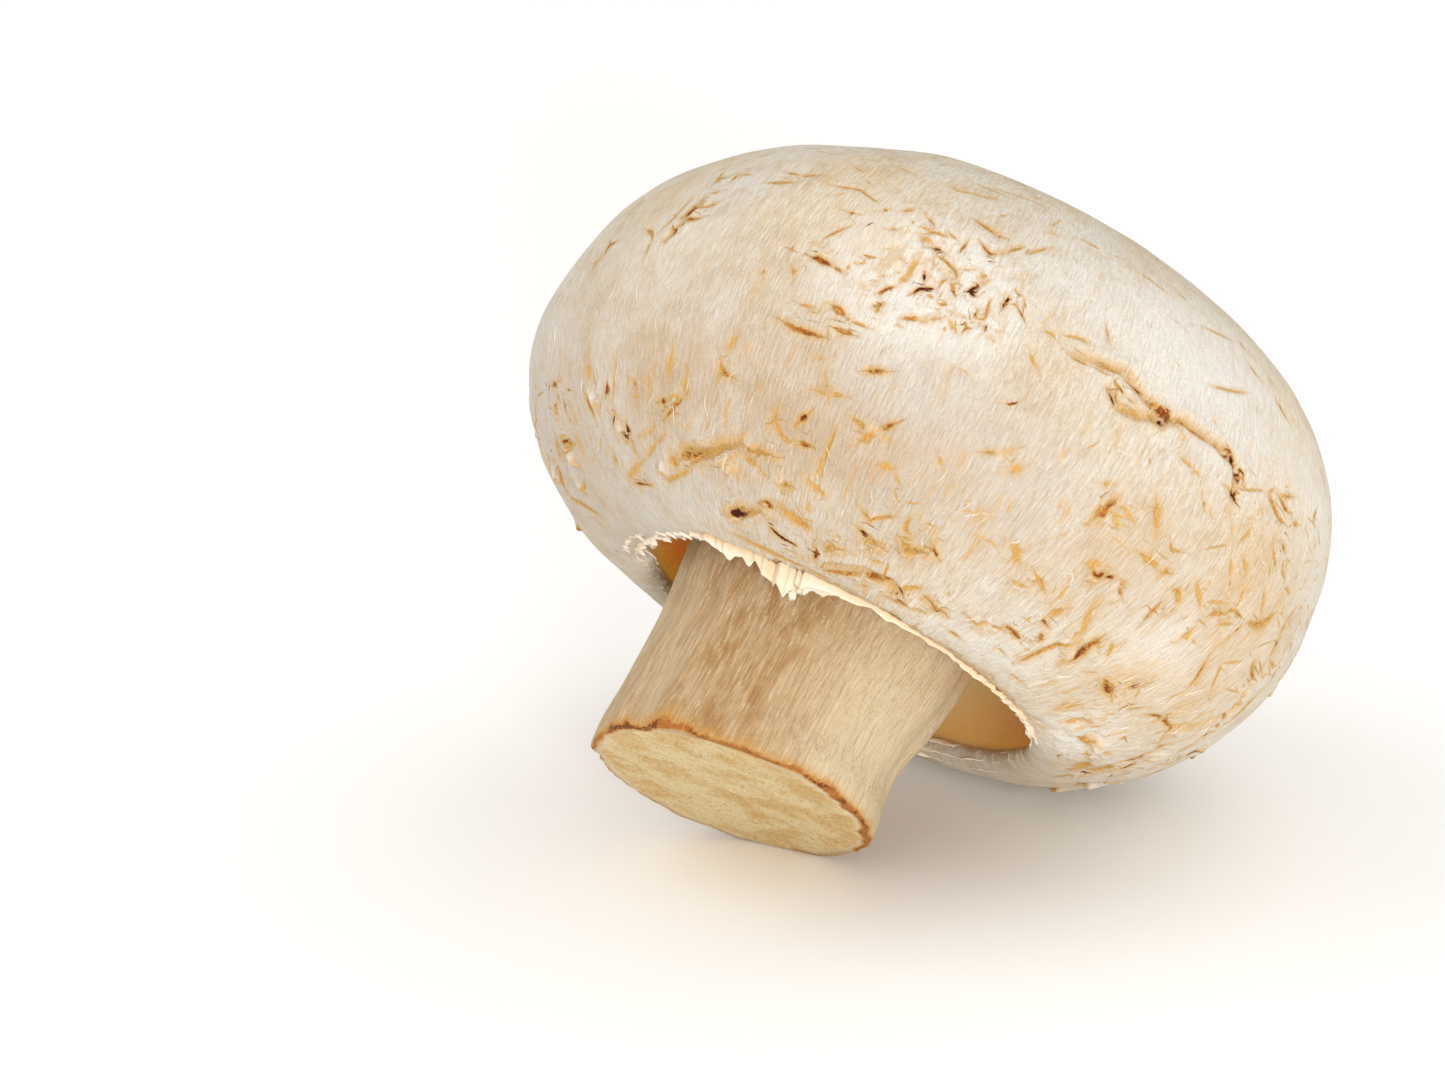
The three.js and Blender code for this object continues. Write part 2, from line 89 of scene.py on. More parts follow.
# ---- camera ----
IMAGE = (1445, 1083)
MM_PER_PX = 0.0638
LENS, SENSOR = 180.0, 36.0
CAMERA_DISTANCE = IMAGE[0] * MM_PER_PX * LENS / SENSOR
CAMERA_AIM_Z = 22.0  # height on the mushroom's axis of the plane at that distance
CAMERA_RIGHT = (0.66188, -0.74960, -0.00267)
CAMERA_UP = (0.27023, 0.23527, 0.93361)
CAMERA_BACK = (-0.69921, -0.61866, 0.35828)
CUT_PIXEL = (735.0, 785.0)  # where the middle of the cut shows


def smoothstep(x, low, high):
    t = np.clip((x - low) / (high - low), 0, 1)
    return t * t * (3 - 2 * t)


def bell(*ratios):
    """1 in the middle, falling with each ratio of a distance to its reach."""
    return np.exp(-sum(ratio ** 2 for ratio in ratios))


def off_middle(degrees, middle):
    return (degrees - middle + 180) % 360 - 180


def unit(v):
    return v / np.linalg.norm(v, axis=-1, keepdims=True)


def circle(azimuth):
    return np.stack([np.cos(azimuth), np.sin(azimuth), 0 * azimuth], 1)


def bezier(a, b, c, d, count=400):
    t = np.linspace(0, 1, count)[:, None]
    a, b, c, d = (np.array(p, float) for p in (a, b, c, d))
    return (1 - t) ** 3 * a + 3 * (1 - t) ** 2 * t * b + 3 * (1 - t) * t * t * c + t ** 3 * d


def make_outline():
    """Runs, radii and heights of the outline, and the run where each stretch ends."""
    top = WIDEST_Z + DOME_HEIGHT
    flank = WIDEST_Z - UNDERSIDE_Z
    under = CAP_RADIUS - UNDERSIDE_RADIUS
    # the start, then each stretch's two control points and its end
    controls = [
        (0, top),
        (DOME_FULLNESS[0] * CAP_RADIUS, top), (CAP_RADIUS, WIDEST_Z + DOME_FULLNESS[1] * DOME_HEIGHT),
        (CAP_RADIUS, WIDEST_Z),
        (CAP_RADIUS, WIDEST_Z - FLANK_FULLNESS[0] * flank),
        (UNDERSIDE_RADIUS + FLANK_FULLNESS[1] * under, UNDERSIDE_Z), (UNDERSIDE_RADIUS, UNDERSIDE_Z),
        (MARGIN_RADIUS, UNDERSIDE_Z), (MARGIN_RADIUS - 0.3 * LIP, UNDERSIDE_Z + LIP),
        (MARGIN_RADIUS + 0.7 * LIP, UNDERSIDE_Z + 1.5 * LIP),
        (GROOVE_RADIUS + LIP, UNDERSIDE_Z + 4 * LIP), (GROOVE_RADIUS, GROOVE_TOP_Z),
        ((GROOVE_RADIUS + STEM_TOP_RADIUS) / 2, GROOVE_TOP_Z),
        (STEM_TOP_RADIUS + LIP, GROOVE_TOP_Z), (STEM_TOP_RADIUS, GROOVE_TOP_Z - 2 * LIP),
        (STEM_TOP_RADIUS, STEM_TOP_Z),
        (STEM_TOP_RADIUS, STEM_TOP_Z - 4 * LIP), (WAIST_RADIUS, WAIST_Z + 4 * LIP), (WAIST_RADIUS, WAIST_Z),
        (WAIST_RADIUS, WAIST_Z / 2), (CUT_RADIUS, WAIST_Z / 2), (CUT_RADIUS, CUT_EDGE),
        (CUT_RADIUS, 0), (CUT_RADIUS, 0), (CUT_RADIUS - CUT_EDGE, 0),
        (CUT_RADIUS / 2, 0), (CUT_RADIUS / 4, 0), (0, 0),
    ]
    points, ends = [np.array(controls[:1], float)], []
    for start in range(0, len(controls) - 1, 3):
        points.append(bezier(*controls[start:start + 4])[1:])
        ends.append(sum(map(len, points)) - 1)
    points = np.vstack(points)
    runs = np.concatenate([[0], np.cumsum(np.linalg.norm(np.diff(points, axis=0), axis=1))])
    return runs, points[:, 0], points[:, 1], runs[ends]


OUTLINE_RUN, OUTLINE_RADIUS, OUTLINE_Z, ENDS = make_outline()
_, FLANK_END, LIP_END, WALL_END, ROOF_END, _, _, EDGE_END, LENGTH = ENDS


def make_random(seed):
    """The part's own seeded draws, so that what is drawn falls in the same places."""
    state = seed

    def draw():
        nonlocal state
        state = (state + 0x6D2B79F5) & 0xFFFFFFFF
        t = ((state ^ (state >> 15)) * (1 | state)) & 0xFFFFFFFF
        t = ((t + (((t ^ (t >> 7)) * (61 | t)) & 0xFFFFFFFF)) & 0xFFFFFFFF) ^ t
        return ((t ^ (t >> 14)) & 0xFFFFFFFF) / 2 ** 32

    return draw


shred_draw = make_random(SHRED_SEED)
SHREDS = np.array([shred_draw() ** SHRED_SHARPNESS for _ in range(SHRED_COUNT)])


def shred_reach(azimuth):
    turn = azimuth / (2 * np.pi) * SHRED_COUNT
    for count, size, phase in SHRED_WARP:
        turn = turn + size * np.sin(count * azimuth + phase)
    turn = np.mod(turn, SHRED_COUNT)
    cell = np.floor(turn).astype(int) % SHRED_COUNT
    tag = SHREDS[cell] * (1 - np.abs(2 * (turn - np.floor(turn)) - 1))
    off = np.cos(azimuth - math.radians(HANGING_AZIMUTH))
    hang = smoothstep(off, math.cos(math.radians(HANGING_WIDTH)), 1)
    calm = smoothstep(np.cos(azimuth - math.radians(SHRED_CALM_AZIMUTH)), 0.5, 0.8)
    tag = tag * (1 - SHRED_CALM * calm)
    return SHRED_REACH * tag + HANGING_REACH * hang * (0.5 + 0.5 * tag)


def body_points(azimuth, run):
    """Points of the smooth body, about its own upright axis."""
    outline_radius = np.interp(run, OUTLINE_RUN, OUTLINE_RADIUS)
    outline_z = np.interp(run, OUTLINE_RUN, OUTLINE_Z)
    cap = 1 - smoothstep(run, LIP_END, WALL_END)
    tilt_share = np.where(run < FLANK_END, smoothstep(outline_z, UNDERSIDE_Z, WIDEST_Z), 0)
    stem = smoothstep(run, WALL_END, ROOF_END)
    margin = smoothstep(run, FLANK_END - 2.5, FLANK_END + 0.8)
    margin = margin * (1 - smoothstep(run, LIP_END - 0.3, LIP_END + 2))
    waist = stem * bell((outline_z - WAIST_Z) / WAIST_REACH)
    radius = outline_radius
    for count, size, peak in CAP_LOBES:
        radius = radius * (1 + cap * size * np.cos(count * (azimuth - math.radians(peak))))
    for count, size, peak in STEM_RIBS:
        wave = np.cos(count * (azimuth - math.radians(peak)))
        radius = radius + stem * size * (outline_radius / CUT_RADIUS) * wave
    radius = radius + (waist * WAIST_BULGE * np.cos(azimuth) - margin * shred_reach(azimuth))
    x, y = radius * np.cos(azimuth), radius * np.sin(azimuth)
    tilt = CAP_TILT[0] * x + CAP_TILT[1] * y
    lean = tilt_share * (outline_z - WIDEST_Z)
    slope = CUT_SLOPE[0] * x + CUT_SLOPE[1] * y + CUT_OFFSET
    z = outline_z + tilt_share * tilt + stem * slope * (1 - smoothstep(outline_z, 0, CUT_SLOPE_REACH))
    x = x + cap * CAP_SHIFT[0] - CAP_TILT[0] * lean
    y = y + cap * CAP_SHIFT[1] - CAP_TILT[1] * lean
    return np.stack([x, y, z], -1)


def axis_distance(azimuth, run):
    """Mm from the mushroom's axis, at least 1, to turn mm round it into radians."""
    return np.maximum(np.linalg.norm(body_points(azimuth, run)[..., :2], axis=-1), 1.0)


def angles(direction):
    polar = np.arccos(np.clip(direction[:, 2], -1, 1))
    return np.arctan2(direction[:, 1], direction[:, 0]), polar / np.pi * LENGTH


NUDGE = 0.004


def body_normals(direction):
    across = unit(np.cross(np.roll(direction, 1, axis=1), direction))
    along = np.cross(direction, across)

    def moved(way, size):
        return body_points(*angles(unit(direction + way * size)))

    a = moved(across, NUDGE) - moved(across, -NUDGE)
    b = moved(along, NUDGE) - moved(along, -NUDGE)
    return unit(np.cross(a, b))


def surface_normals(azimuth, run):
    polar = run / LENGTH * np.pi
    flat = np.sin(polar)
    return body_normals(np.stack([flat * np.cos(azimuth), flat * np.sin(azimuth), np.cos(polar)], 1))


UP = np.array([math.cos(math.radians(UP_AZIMUTH)), math.sin(math.radians(UP_AZIMUTH)), 0])
SIDE = np.cross([0, 0, 1], UP)


def lay_way(p):
    """Turns a direction of the upright mushroom to how it lies."""
    lean = math.radians(LEAN)
    along, high = p[..., 2], p @ UP
    return np.stack([along * math.cos(lean) - high * math.sin(lean), -(p @ SIDE),
                     along * math.sin(lean) + high * math.cos(lean)], -1)


def lay(p):
    q = lay_way(p) - np.array([MIDDLE[0], MIDDLE[1], TABLE_Z])
    q[..., 2] = np.maximum(q[..., 2], 0)
    return q


def noise(p, seed):
    """Smooth seeded noise from -1 to 1 at points p, one lattice step per unit."""
    table = np.random.default_rng(seed).uniform(-1, 1, (32, 32, 32))
    cell = np.floor(p).astype(int)
    f = p - cell
    f = f * f * (3 - 2 * f)
    total = np.zeros(len(p))
    for corner in range(8):
        bit = np.array([corner & 1, corner >> 1 & 1, corner >> 2 & 1])
        i = (cell + bit) % 32
        weight = np.prod(np.where(bit, f, 1 - f), axis=1)
        total += weight * table[i[:, 0], i[:, 1], i[:, 2]]
    return total


def waves(p, table):
    """Noise of several sizes. The table has heights, mm per wave and seeds."""
    return sum(height * noise(p / size, seed) for height, size, seed in table)


def nearby(p, middle, reach):
    return np.where(np.linalg.norm(p - middle, axis=1) < reach)[0]


# ---- flakes, cracks and the rough patches, as in the part ----
def surface_frame(azimuth, run):
    step = 0.2
    at, below, above = body_points(np.full(3, azimuth), np.array([run, run + step, run - step]))
    down = unit(below - above)
    turn = step / max(math.hypot(at[0], at[1]), step)
    right, left = body_points(np.array([azimuth + turn, azimuth - turn]), np.full(2, run))
    return at, down, unit(right - left)


# azimuth and run of the tip, way the tip points, length, width, height, darkness below the tip
FLAKES = [
    (58, 47.5, 70, 5.6, 3.4, 0.75, 0.6), (42, 49, -30, 3.2, 2.2, 0.5, 0.5), (31, 46.6, 10, 2.6, 2, 0.55, 1),
    (24, 45, 25, 2.6, 1.6, 0.4, 0.4), (62, 46, 45, 2.4, 1.8, 0.45, 0.5), (68, 47.5, 30, 2.8, 1.8, 0.5, 0.5),
    (66, 50, 15, 2.6, 2.2, 0.55, 0.5), (58, 51.3, 5, 2.4, 2, 0.6, 1), (80, 42.3, 75, 3.2, 1.5, 0.5, 0.5),
    (84, 47, -20, 2.4, 1.8, 0.5, 0.5), (85, 49, 40, 3, 2.2, 0.6, 0.5), (92, 48, 35, 3.4, 2.4, 0.65, 0.7),
    (96, 47.2, 20, 2.4, 1.6, 0.5, 0.5), (80, 50.5, -10, 2.2, 2, 0.5, 0.6), (98, 51.3, 30, 2.4, 2, 0.5, 0.6),
    (102, 50.4, 10, 2.6, 1.8, 0.55, 0.9), (110, 49.8, 50, 3.2, 1.8, 0.5, 0.5),
    (117, 46.8, 30, 2.6, 1.8, 0.5, 0.5), (111, 45.2, 25, 2.4, 1.6, 0.45, 0.5),
    (107, 44.6, 20, 2.2, 1.6, 0.45, 0.5), (118, 43.4, 15, 3, 2.2, 0.6, 0.8),
    (123, 43.6, 40, 2.2, 1.4, 0.4, 0.4), (126, 47.6, 60, 4.6, 2.2, 0.6, 0.6),
    (137, 47.6, 35, 2.6, 1.6, 0.45, 0.5), (113, 40.6, 10, 2.2, 1.6, 0.35, 0.6),
    (136, 43, 20, 2.2, 1.6, 0.4, 0.4), (96, 40.5, 60, 1.8, 1.2, 0.35, 0.4),
    (8, 48.3, 20, 3.4, 2, 0.55, 0.6), (352, 48.3, -10, 2.6, 1.8, 0.5, 0.6),
    (4, 50.4, 15, 2.6, 1.6, 0.45, 0.4), (145, 49.6, 40, 5.2, 4.6, 0.8, 0.5),
    (155, 50.6, 20, 3.6, 3.2, 0.7, 0.5), (36, 33, -20, 3, 1.6, 0.35, 0.5),
    (62, 33.6, 60, 2.6, 1.6, 0.45, 0.7), (69, 38, 70, 2.8, 1.4, 0.4, 0.6),
    (64, 38.6, 80, 2.2, 1.2, 0.35, 0.6), (46, 44.6, 10, 2.4, 1.4, 0.35, 0.4),
    (160, 46, 30, 3, 1.8, 0.45, 0.5), (168, 47.6, 20, 3, 1.6, 0.45, 0.6),
]
# more flakes on the hidden side, drawn at random: draws, then the ends of what is drawn
LOOSE_DRAWS, LOOSE_AZIMUTHS, LOOSE_RUNS, LOOSE_TURN = 150, (172, 350), (28, 51), (-40, 55)
LOOSE_LENGTH, LOOSE_WIDTH, LOOSE_HEIGHT = (1.8, 3.8), 0.6, (0.3, 0.6)
FLAKE_GAP = 4.2
FLAKE_SHARE = 0.7  # of a flake's height that the fine surface keeps
FLAKE_STEP = 0.07  # drop at its tip, as a share of its length


def make_flake(azimuth, run, turn, length, width, height, dark):
    at, down, across = surface_frame(math.radians(azimuth), run)
    turn = math.radians(turn)
    c, s = math.cos(turn), math.sin(turn)
    return dict(at=at, tip=down * c + across * s, side=across * c - down * s, turn=turn, length=length,
                width=width, height=height, dark=dark, place=(math.radians(azimuth), run))


def make_flakes():
    draw = make_random(FLAKE_SEED)

    def between(ends):
        return ends[0] + (ends[1] - ends[0]) * draw()

    flakes = [make_flake(*f) for f in FLAKES]
    for _ in range(LOOSE_DRAWS):
        length = between(LOOSE_LENGTH)
        turn = between(LOOSE_TURN)
        azimuth, run = between(LOOSE_AZIMUTHS), between(LOOSE_RUNS)
        flake = make_flake(azimuth, run, turn, length, length * LOOSE_WIDTH, between(LOOSE_HEIGHT), 0.5)
        if all(np.linalg.norm(f["at"] - flake["at"]) > FLAKE_GAP for f in flakes):
            flakes.append(flake)
    return flakes


flakes = make_flakes()

# azimuth and run of each bend
CRACKS = [
    [(99, 33.2), (106.5, 32.4), (109.5, 33.2), (114, 34), (117, 33.2), (123, 33), (127.5, 33.5), (129, 35.2)],
    [(105, 34), (108, 34.8), (114, 34)],
    [(79.5, 52), (87, 50.8), (91.5, 50.6), (94.5, 51)],
    [(36, 30.4), (36, 32.7), (34, 33.8)],
    [(156, 46), (160, 44.6), (163, 42.5), (158, 41.2)],
    [(350, 42.5), (352, 44.5), (349, 46.4)],
    [(248, 36), (256, 35), (262, 36.2), (270, 35.6)],
    [(196, 40), (203, 41.5), (207, 44)],
]
# azimuth and run of the middle, half width and half height in mm, count of scales, height
SCALE_PATCHES = [(76, 32.8, 8.2, 5.4, 46, 0.5), (262, 24, 6.2, 5.0, 30, 0.45)]
FINE_SCALES, FINE_SPREAD = 150, 1.15


def make_patch(index):
    azimuth, run, wide, tall, scales, height = SCALE_PATCHES[index]
    at, down, across = surface_frame(math.radians(azimuth), run)
    draw = make_random(PATCH_SEED + index)
    centres = []
    for _ in range(scales):
        ring = math.sqrt(draw())
        turn = 2 * math.pi * draw()
        centres.append((wide * ring * math.cos(turn), tall * ring * math.sin(turn)))
    spare = np.random.default_rng(FINE_SEED + index)
    ring, turn = np.sqrt(spare.random(FINE_SCALES)), 2 * np.pi * spare.random(FINE_SCALES)
    fine = np.stack([FINE_SPREAD * wide * ring * np.cos(turn), FINE_SPREAD * tall * ring * np.sin(turn)], 1)
    return dict(at=at, down=down, across=across, wide=wide, tall=tall, height=height,
                centres=np.array(centres), fine=fine)


patches = [make_patch(i) for i in range(len(SCALE_PATCHES))]


def polyline_distance(bends, p):
    nearest = np.full(len(p), np.inf)
    for a, b in zip(bends[:-1], bends[1:]):
        way = b - a
        t = np.clip((p - a) @ way / max(way @ way, 1e-9), 0, 1)
        nearest = np.minimum(nearest, np.linalg.norm(p - a - t[:, None] * way, axis=1))
    return nearest


def places(bends):
    bends = np.array(bends, float)
    return body_points(np.radians(bends[:, 0]), bends[:, 1])


crack_lines = [places(bends) for bends in CRACKS]


# ---- marks in the skin ----
def make_mark(path, width, orange, dark=0, pocket=0):
    """A line or stain, or a pocket, which is widest and darkest at its head."""
    path = np.cumsum(np.reshape(path, (-1, 2)), axis=0)
    return path / 10, width / 100, orange / 100, dark / 100, pocket


# azimuth and run of the first bend and the steps to the others, in tenths of a degree and of a mm, then
# the width in hundredths of a mm, the orange share in %, the dark share in %, and 1 if it is a pocket
MARKS = [make_mark(*row) for row in [
    ([573, 279, 40, -1, 33, 6], 14, 55), ([689, 285, 10, -4], 19, 50), ([716, 280, 24, 9], 14, 50),
    ([727, 294, 36, 0], 19, 50), ([733, 300, 12, 3, 7, -1], 38, 50), ([750, 305, 16, 0], 15, 85, 60),
    ([762, 290, 16, 3], 13, 50), ([767, 310, 27, 4, 7, 4], 17, 65, 10), ([789, 301, 2, -9], 13, 60, 20),
    ([791, 271, 32, 4], 14, 70, 10), ([823, 275, 6, 0], 19, 90, 100),
    ([815, 289, 12, 4, 36, -17], 17, 80, 20), ([837, 289, 11, -5], 18, 90, 90),
    ([875, 278, 20, -11], 14, 50), ([609, 338, 32, 2], 23, 95, 40), ([641, 340, 22, 3], 15, 80, 10),
    ([661, 342, 2, -7, 19, -4], 13, 50), ([633, 310, -22, 13], 11, 60),
    ([601, 329, 7, -1, 6, 2], 14, 75, 50), ([716, 348, 17, -9], 17, 85, 10), ([737, 337, 6, -20], 51, 42),
    ([757, 340, 8, -5, 20, -4], 19, 90, 100), ([757, 322, 7, 7], 17, 70, 100),
    ([783, 332, 9, -14], 13, 60, 10), ([777, 337, 9, 1], 15, 50), ([798, 324, 12, 7], 15, 65, 10),
    ([839, 313, -14, 11, 6, 2, 8, -1], 18, 95, 90), ([836, 314, -2, -5, -12, -2, -15, 4], 13, 55, 10),
    ([855, 325, 3, 12, -10, 3], 14, 55), ([846, 342, -1, -6], 14, 80, 60), ([875, 317, -1, 8], 18, 80, 100),
    ([878, 321, 10, -2, 22, 9], 15, 45, 30), ([718, 357, 9, -3], 18, 95, 50), ([721, 359, 6, -1], 26, 50),
    ([760, 358, 41, -8], 26, 65, 10), ([784, 354, 6, -1], 32, 90, 40), ([624, 370, 28, 0], 18, 55),
    ([644, 372, 9, -1], 22, 65), ([666, 365, 22, 4], 32, 75, 10), ([701, 371, 20, 0], 15, 55),
    ([682, 378, 26, 0], 20, 75, 5), ([612, 383, 18, 2, 39, 0], 24, 85, 10), ([675, 396, 4, 0], 17, 75, 10),
    ([747, 394, 20, -3], 24, 75), ([693, 414, 32, -2], 22, 55), ([701, 409, 7, 5], 14, 60),
    ([838, 351, 4, -3, -7, -2], 15, 75, 60), ([816, 348, 18, 6], 29, 40, 10),
    ([864, 341, 2, 5], 14, 55, 40), ([938, 327, 10, -1, 7, 2], 19, 40),
    ([966, 323, 20, -3, 12, 0], 19, 45, 10), ([1012, 300, 14, 11], 13, 35), ([932, 345, 14, 6], 19, 38),
    ([682, 433, 6, -4], 26, 95, 70), ([623, 299, 5, 0], 13, 70, 10), ([690, 302, 6, -1], 15, 50),
    ([716, 242, 22, 3, 38, -5, 18, -4], 13, 42), ([744, 224, 69, 3], 11, 40),
    ([782, 219, 55, -3, 31, 3], 11, 40), ([987, 334, 25, 0], 18, 55, 15), ([1011, 333, 33, 0], 13, 42),
    ([1023, 327, 32, 0, 10, 2], 18, 50), ([1065, 329, 41, 3], 20, 65, 30), ([1052, 335, 21, 4], 15, 65, 35),
    ([1073, 339, 32, 2], 13, 55, 10), ([1104, 332, 13, -1, 8, 2], 26, 95, 100),
    ([1114, 333, 36, 3], 57, 85, 45), ([1140, 337, -3, 6], 35, 90, 100), ([1139, 331, 8, 2], 18, 80, 90),
    ([1051, 342, 16, 8], 22, 80, 50), ([1067, 350, 34, -2, 33, -7], 17, 70, 10),
    ([1092, 341, 17, 1, 21, -2], 22, 75, 15), ([1076, 348, 44, -5], 29, 45),
    ([1151, 335, 12, -3, 23, 2, 34, -2], 20, 60, 15), ([1220, 332, 28, 0], 20, 65, 10),
    ([1246, 333, 12, -1], 22, 85, 60), ([1254, 328, 23, 8], 23, 90, 100), ([1277, 336, 16, 8], 19, 85, 70),
    ([1281, 334, 18, 4], 14, 75, 80), ([1293, 344, 6, -6], 14, 75, 50),
    ([1277, 351, 14, 1, 0, -4], 19, 80, 50), ([1297, 345, 43, -11], 14, 42),
    ([1349, 333, 39, 8, 18, -1], 29, 62), ([1349, 333, 15, -6, 17, 0, 24, -6], 26, 55),
    ([1378, 329, 16, 3, 17, -1], 24, 85, 10), ([1486, 317, 3, -6], 13, 75, 10),
    ([1119, 407, 12, -13], 51, 75, 25), ([1137, 394, 33, 4], 26, 35), ([1131, 398, 25, 7], 29, 40),
    ([1183, 383, 22, 11], 32, 50), ([1102, 390, 6, -1], 32, 45, 10), ([1184, 353, 41, 2], 22, 36),
    ([1205, 295, 27, -5, 37, -9], 17, 40), ([1266, 240, 32, 3], 14, 70), ([1284, 256, 14, 3], 13, 55, 20),
    ([1350, 267, 24, 6], 14, 65), ([1335, 371, 6, -11], 26, 40), ([1246, 367, 5, 2], 15, 60, 30),
    ([1256, 367, 12, 4], 15, 40, 10), ([1429, 334, 12, -2], 18, 60), ([477, 480, 113, -19], 96, 95, 25, 1),
    ([455, 487, -6, -8], 51, 60), ([409, 495, 15, 3, 103, -22], 29, 50),
    ([610, 461, 45, -2], 38, 85, 20, 1), ([605, 465, 33, 6], 29, 62), ([585, 510, 68, -11], 89, 80, 100, 1),
    ([648, 491, 12, -2, 7, 3, -6, 5, -10, 0], 19, 85, 35), ([653, 499, 3, 5], 19, 60, 10),
    ([686, 491, 59, 5], 51, 55, 15), ([667, 509, 22, 4, 36, 2], 22, 80, 85), ([672, 469, 10, 5], 19, 50),
    ([679, 474, 9, 0], 41, 90, 30), ([643, 434, 0, 4, 13, 6, 14, 3, 15, -1], 19, 50),
    ([685, 446, 24, -1], 23, 85, 15), ([534, 415, 5, 5, 13, 1], 29, 70, 5), ([547, 398, -6, 8], 29, 36),
    ([481, 437, -41, 17], 19, 80, 10), ([428, 445, 9, -1], 32, 90, 50), ([440, 443, 31, -5], 17, 50),
    ([278, 443, 7, -4, 6, 2], 29, 90, 40), ([265, 444, -13, 8], 15, 42), ([213, 445, 14, 12], 22, 80, 10),
    ([85, 427, 13, 2, -12, 2], 18, 75, 25), ([98, 435, 0, 6, -30, 4, 14, 5], 18, 70, 10),
    ([226, 422, 5, 9], 57, 42), ([236, 423, 13, 14], 19, 50, 10), ([307, 457, -4, 8, 6, 4], 29, 85, 100),
    ([309, 469, 31, 4], 26, 85, 80), ([333, 463, 5, 5], 45, 80, 100), ([336, 474, 11, 10], 19, 42),
    ([396, 431, 2, 9], 29, 42), ([360, 434, 5, 3], 17, 60), ([480, 425, -9, 14], 20, 50),
    ([442, 411, -2, 17], 32, 38), ([312, 421, -12, 27], 22, 34), ([363, 470, 35, -4, 17, -6], 17, 42),
    ([434, 466, -74, 22], 22, 50), ([351, 488, -66, 13], 45, 38), ([281, 500, 13, 3, 72, 1], 17, 65, 35),
    ([266, 485, -4, 4], 28, 60), ([68, 468, 30, 3], 29, 90, 40), ([38, 468, -16, 7, 16, 5], 28, 55),
    ([112, 473, -44, 4, -60, 1, 3540, -5], 19, 60), ([3532, 468, 0, 2], 22, 75, 40),
    ([3562, 481, -30, 8, -14, 8], 48, 75, 5), ([3518, 497, 44, 11, -3540, 13], 28, 60, 5),
    ([68, 500, -46, 5], 22, 50, 10), ([775, 431, 18, -10], 41, 60), ([788, 423, 20, -8], 24, 95, 10),
    ([755, 421, 13, 1, 3, 3], 19, 60, 10), ([736, 432, -1, 21], 15, 50, 5), ([814, 439, 20, -2], 51, 36),
    ([719, 465, 37, 6], 32, 42), ([938, 407, 22, -4, 12, -5], 19, 60), ([956, 404, 11, -4], 27, 95, 15),
    ([981, 409, 10, -4], 45, 36), ([823, 469, 11, 2, 32, -8], 22, 60, 10), ([830, 480, 21, 2], 20, 90, 90),
    ([847, 485, 25, 1], 64, 72, 0, 1), ([903, 474, 17, 3, 23, -4], 57, 85, 15, 1),
    ([947, 467, 13, 3], 26, 75, 30), ([892, 459, 0, 6, 14, 2], 17, 50), ([872, 498, 15, -3], 18, 42, 10),
    ([789, 508, 8, -7, 18, 0], 45, 75, 15, 1), ([765, 510, 6, 3, -4, 7], 20, 75, 40),
    ([708, 522, 37, 2, 23, -2], 15, 70, 60), ([788, 526, 80, -14], 19, 70, 15),
    ([868, 512, 53, -6], 29, 85, 30), ([927, 505, 28, 6], 19, 85, 80), ([938, 506, 31, -9], 26, 50),
    ([944, 519, 55, -5], 22, 80, 10), ([1028, 504, -30, -2], 51, 90, 40, 1),
    ([1078, 495, 18, 0, 32, -5, 20, 0], 19, 60, 5), ([1139, 486, 34, 2], 29, 85, 25),
    ([1077, 515, 21, 1], 19, 60, 10), ([1042, 443, 14, 1, 9, 6], 57, 42), ([1100, 448, 34, 6], 28, 55, 5),
    ([1162, 464, 9, 5, 14, 1], 19, 85, 35), ([1164, 464, 15, -7], 32, 55),
    ([1200, 481, -9, -5], 24, 80, 10), ([1219, 501, 0, -16, 7, -10, 15, -8], 26, 65, 5),
    ([1239, 468, -10, -5, 10, 0], 18, 75, 15), ([1243, 467, -31, -21], 28, 42),
    ([1264, 482, 2, -25], 51, 85, 20), ([1278, 455, 12, 0, 14, 7], 19, 50, 5),
    ([589, 528, 159, 5], 32, 50, 10), ([748, 533, 121, 1], 29, 45, 10),
    ([942, 548, 29, -3, 23, 0], 18, 55, 50), ([1022, 540, 23, 0], 18, 50, 40),
    ([1071, 536, 70, -4], 19, 50, 20), ([1166, 430, 12, 0, 6, -3], 32, 90, 30),
    ([1175, 424, 13, 0], 18, 65, 10), ([1191, 429, 12, -4], 22, 85, 50), ([1203, 425, 20, 0], 15, 45),
    ([1154, 429, 14, -4], 57, 34), ([1209, 409, 44, 0], 26, 50), ([1249, 410, 15, -2], 26, 80, 10),
    ([1239, 396, 7, 2, 12, -2], 18, 55), ([1220, 429, 10, 2], 22, 70, 10),
    ([1290, 413, 9, -1, 20, 6], 32, 52), ([1314, 403, 32, 7], 28, 45),
    ([1361, 427, 12, -1, -4, -5], 28, 42, 5), ([1351, 406, 26, -5], 18, 42),
    ([1373, 410, 6, -3, 13, -2], 22, 60, 10), ([1397, 402, 5, -3, 27, 0], 19, 60, 15),
    ([1403, 409, 16, -4], 15, 50), ([1437, 406, 2, -3], 15, 60, 20), ([1336, 382, 20, 7], 23, 42),
    ([1357, 377, 17, 4], 26, 42), ([1404, 359, 23, 6], 17, 55), ([1410, 365, 15, 8], 14, 45),
    ([1419, 351, 13, 2], 22, 60), ([1439, 358, 13, 6, 14, 1], 15, 55, 5),
    ([1447, 398, 19, -3, 16, -5, 6, -6], 45, 60), ([1432, 380, 27, 9], 20, 50),
    ([1382, 387, 14, 3, 6, 6], 17, 45), ([1554, 391, -4, -4], 27, 95, 60),
    ([1550, 387, -15, -8, 4, -9], 18, 55), ([1612, 390, -14, -4, 0, -4], 17, 60, 10),
    ([1628, 395, 14, 6], 19, 75, 60), ([1578, 397, 31, -1], 18, 50),
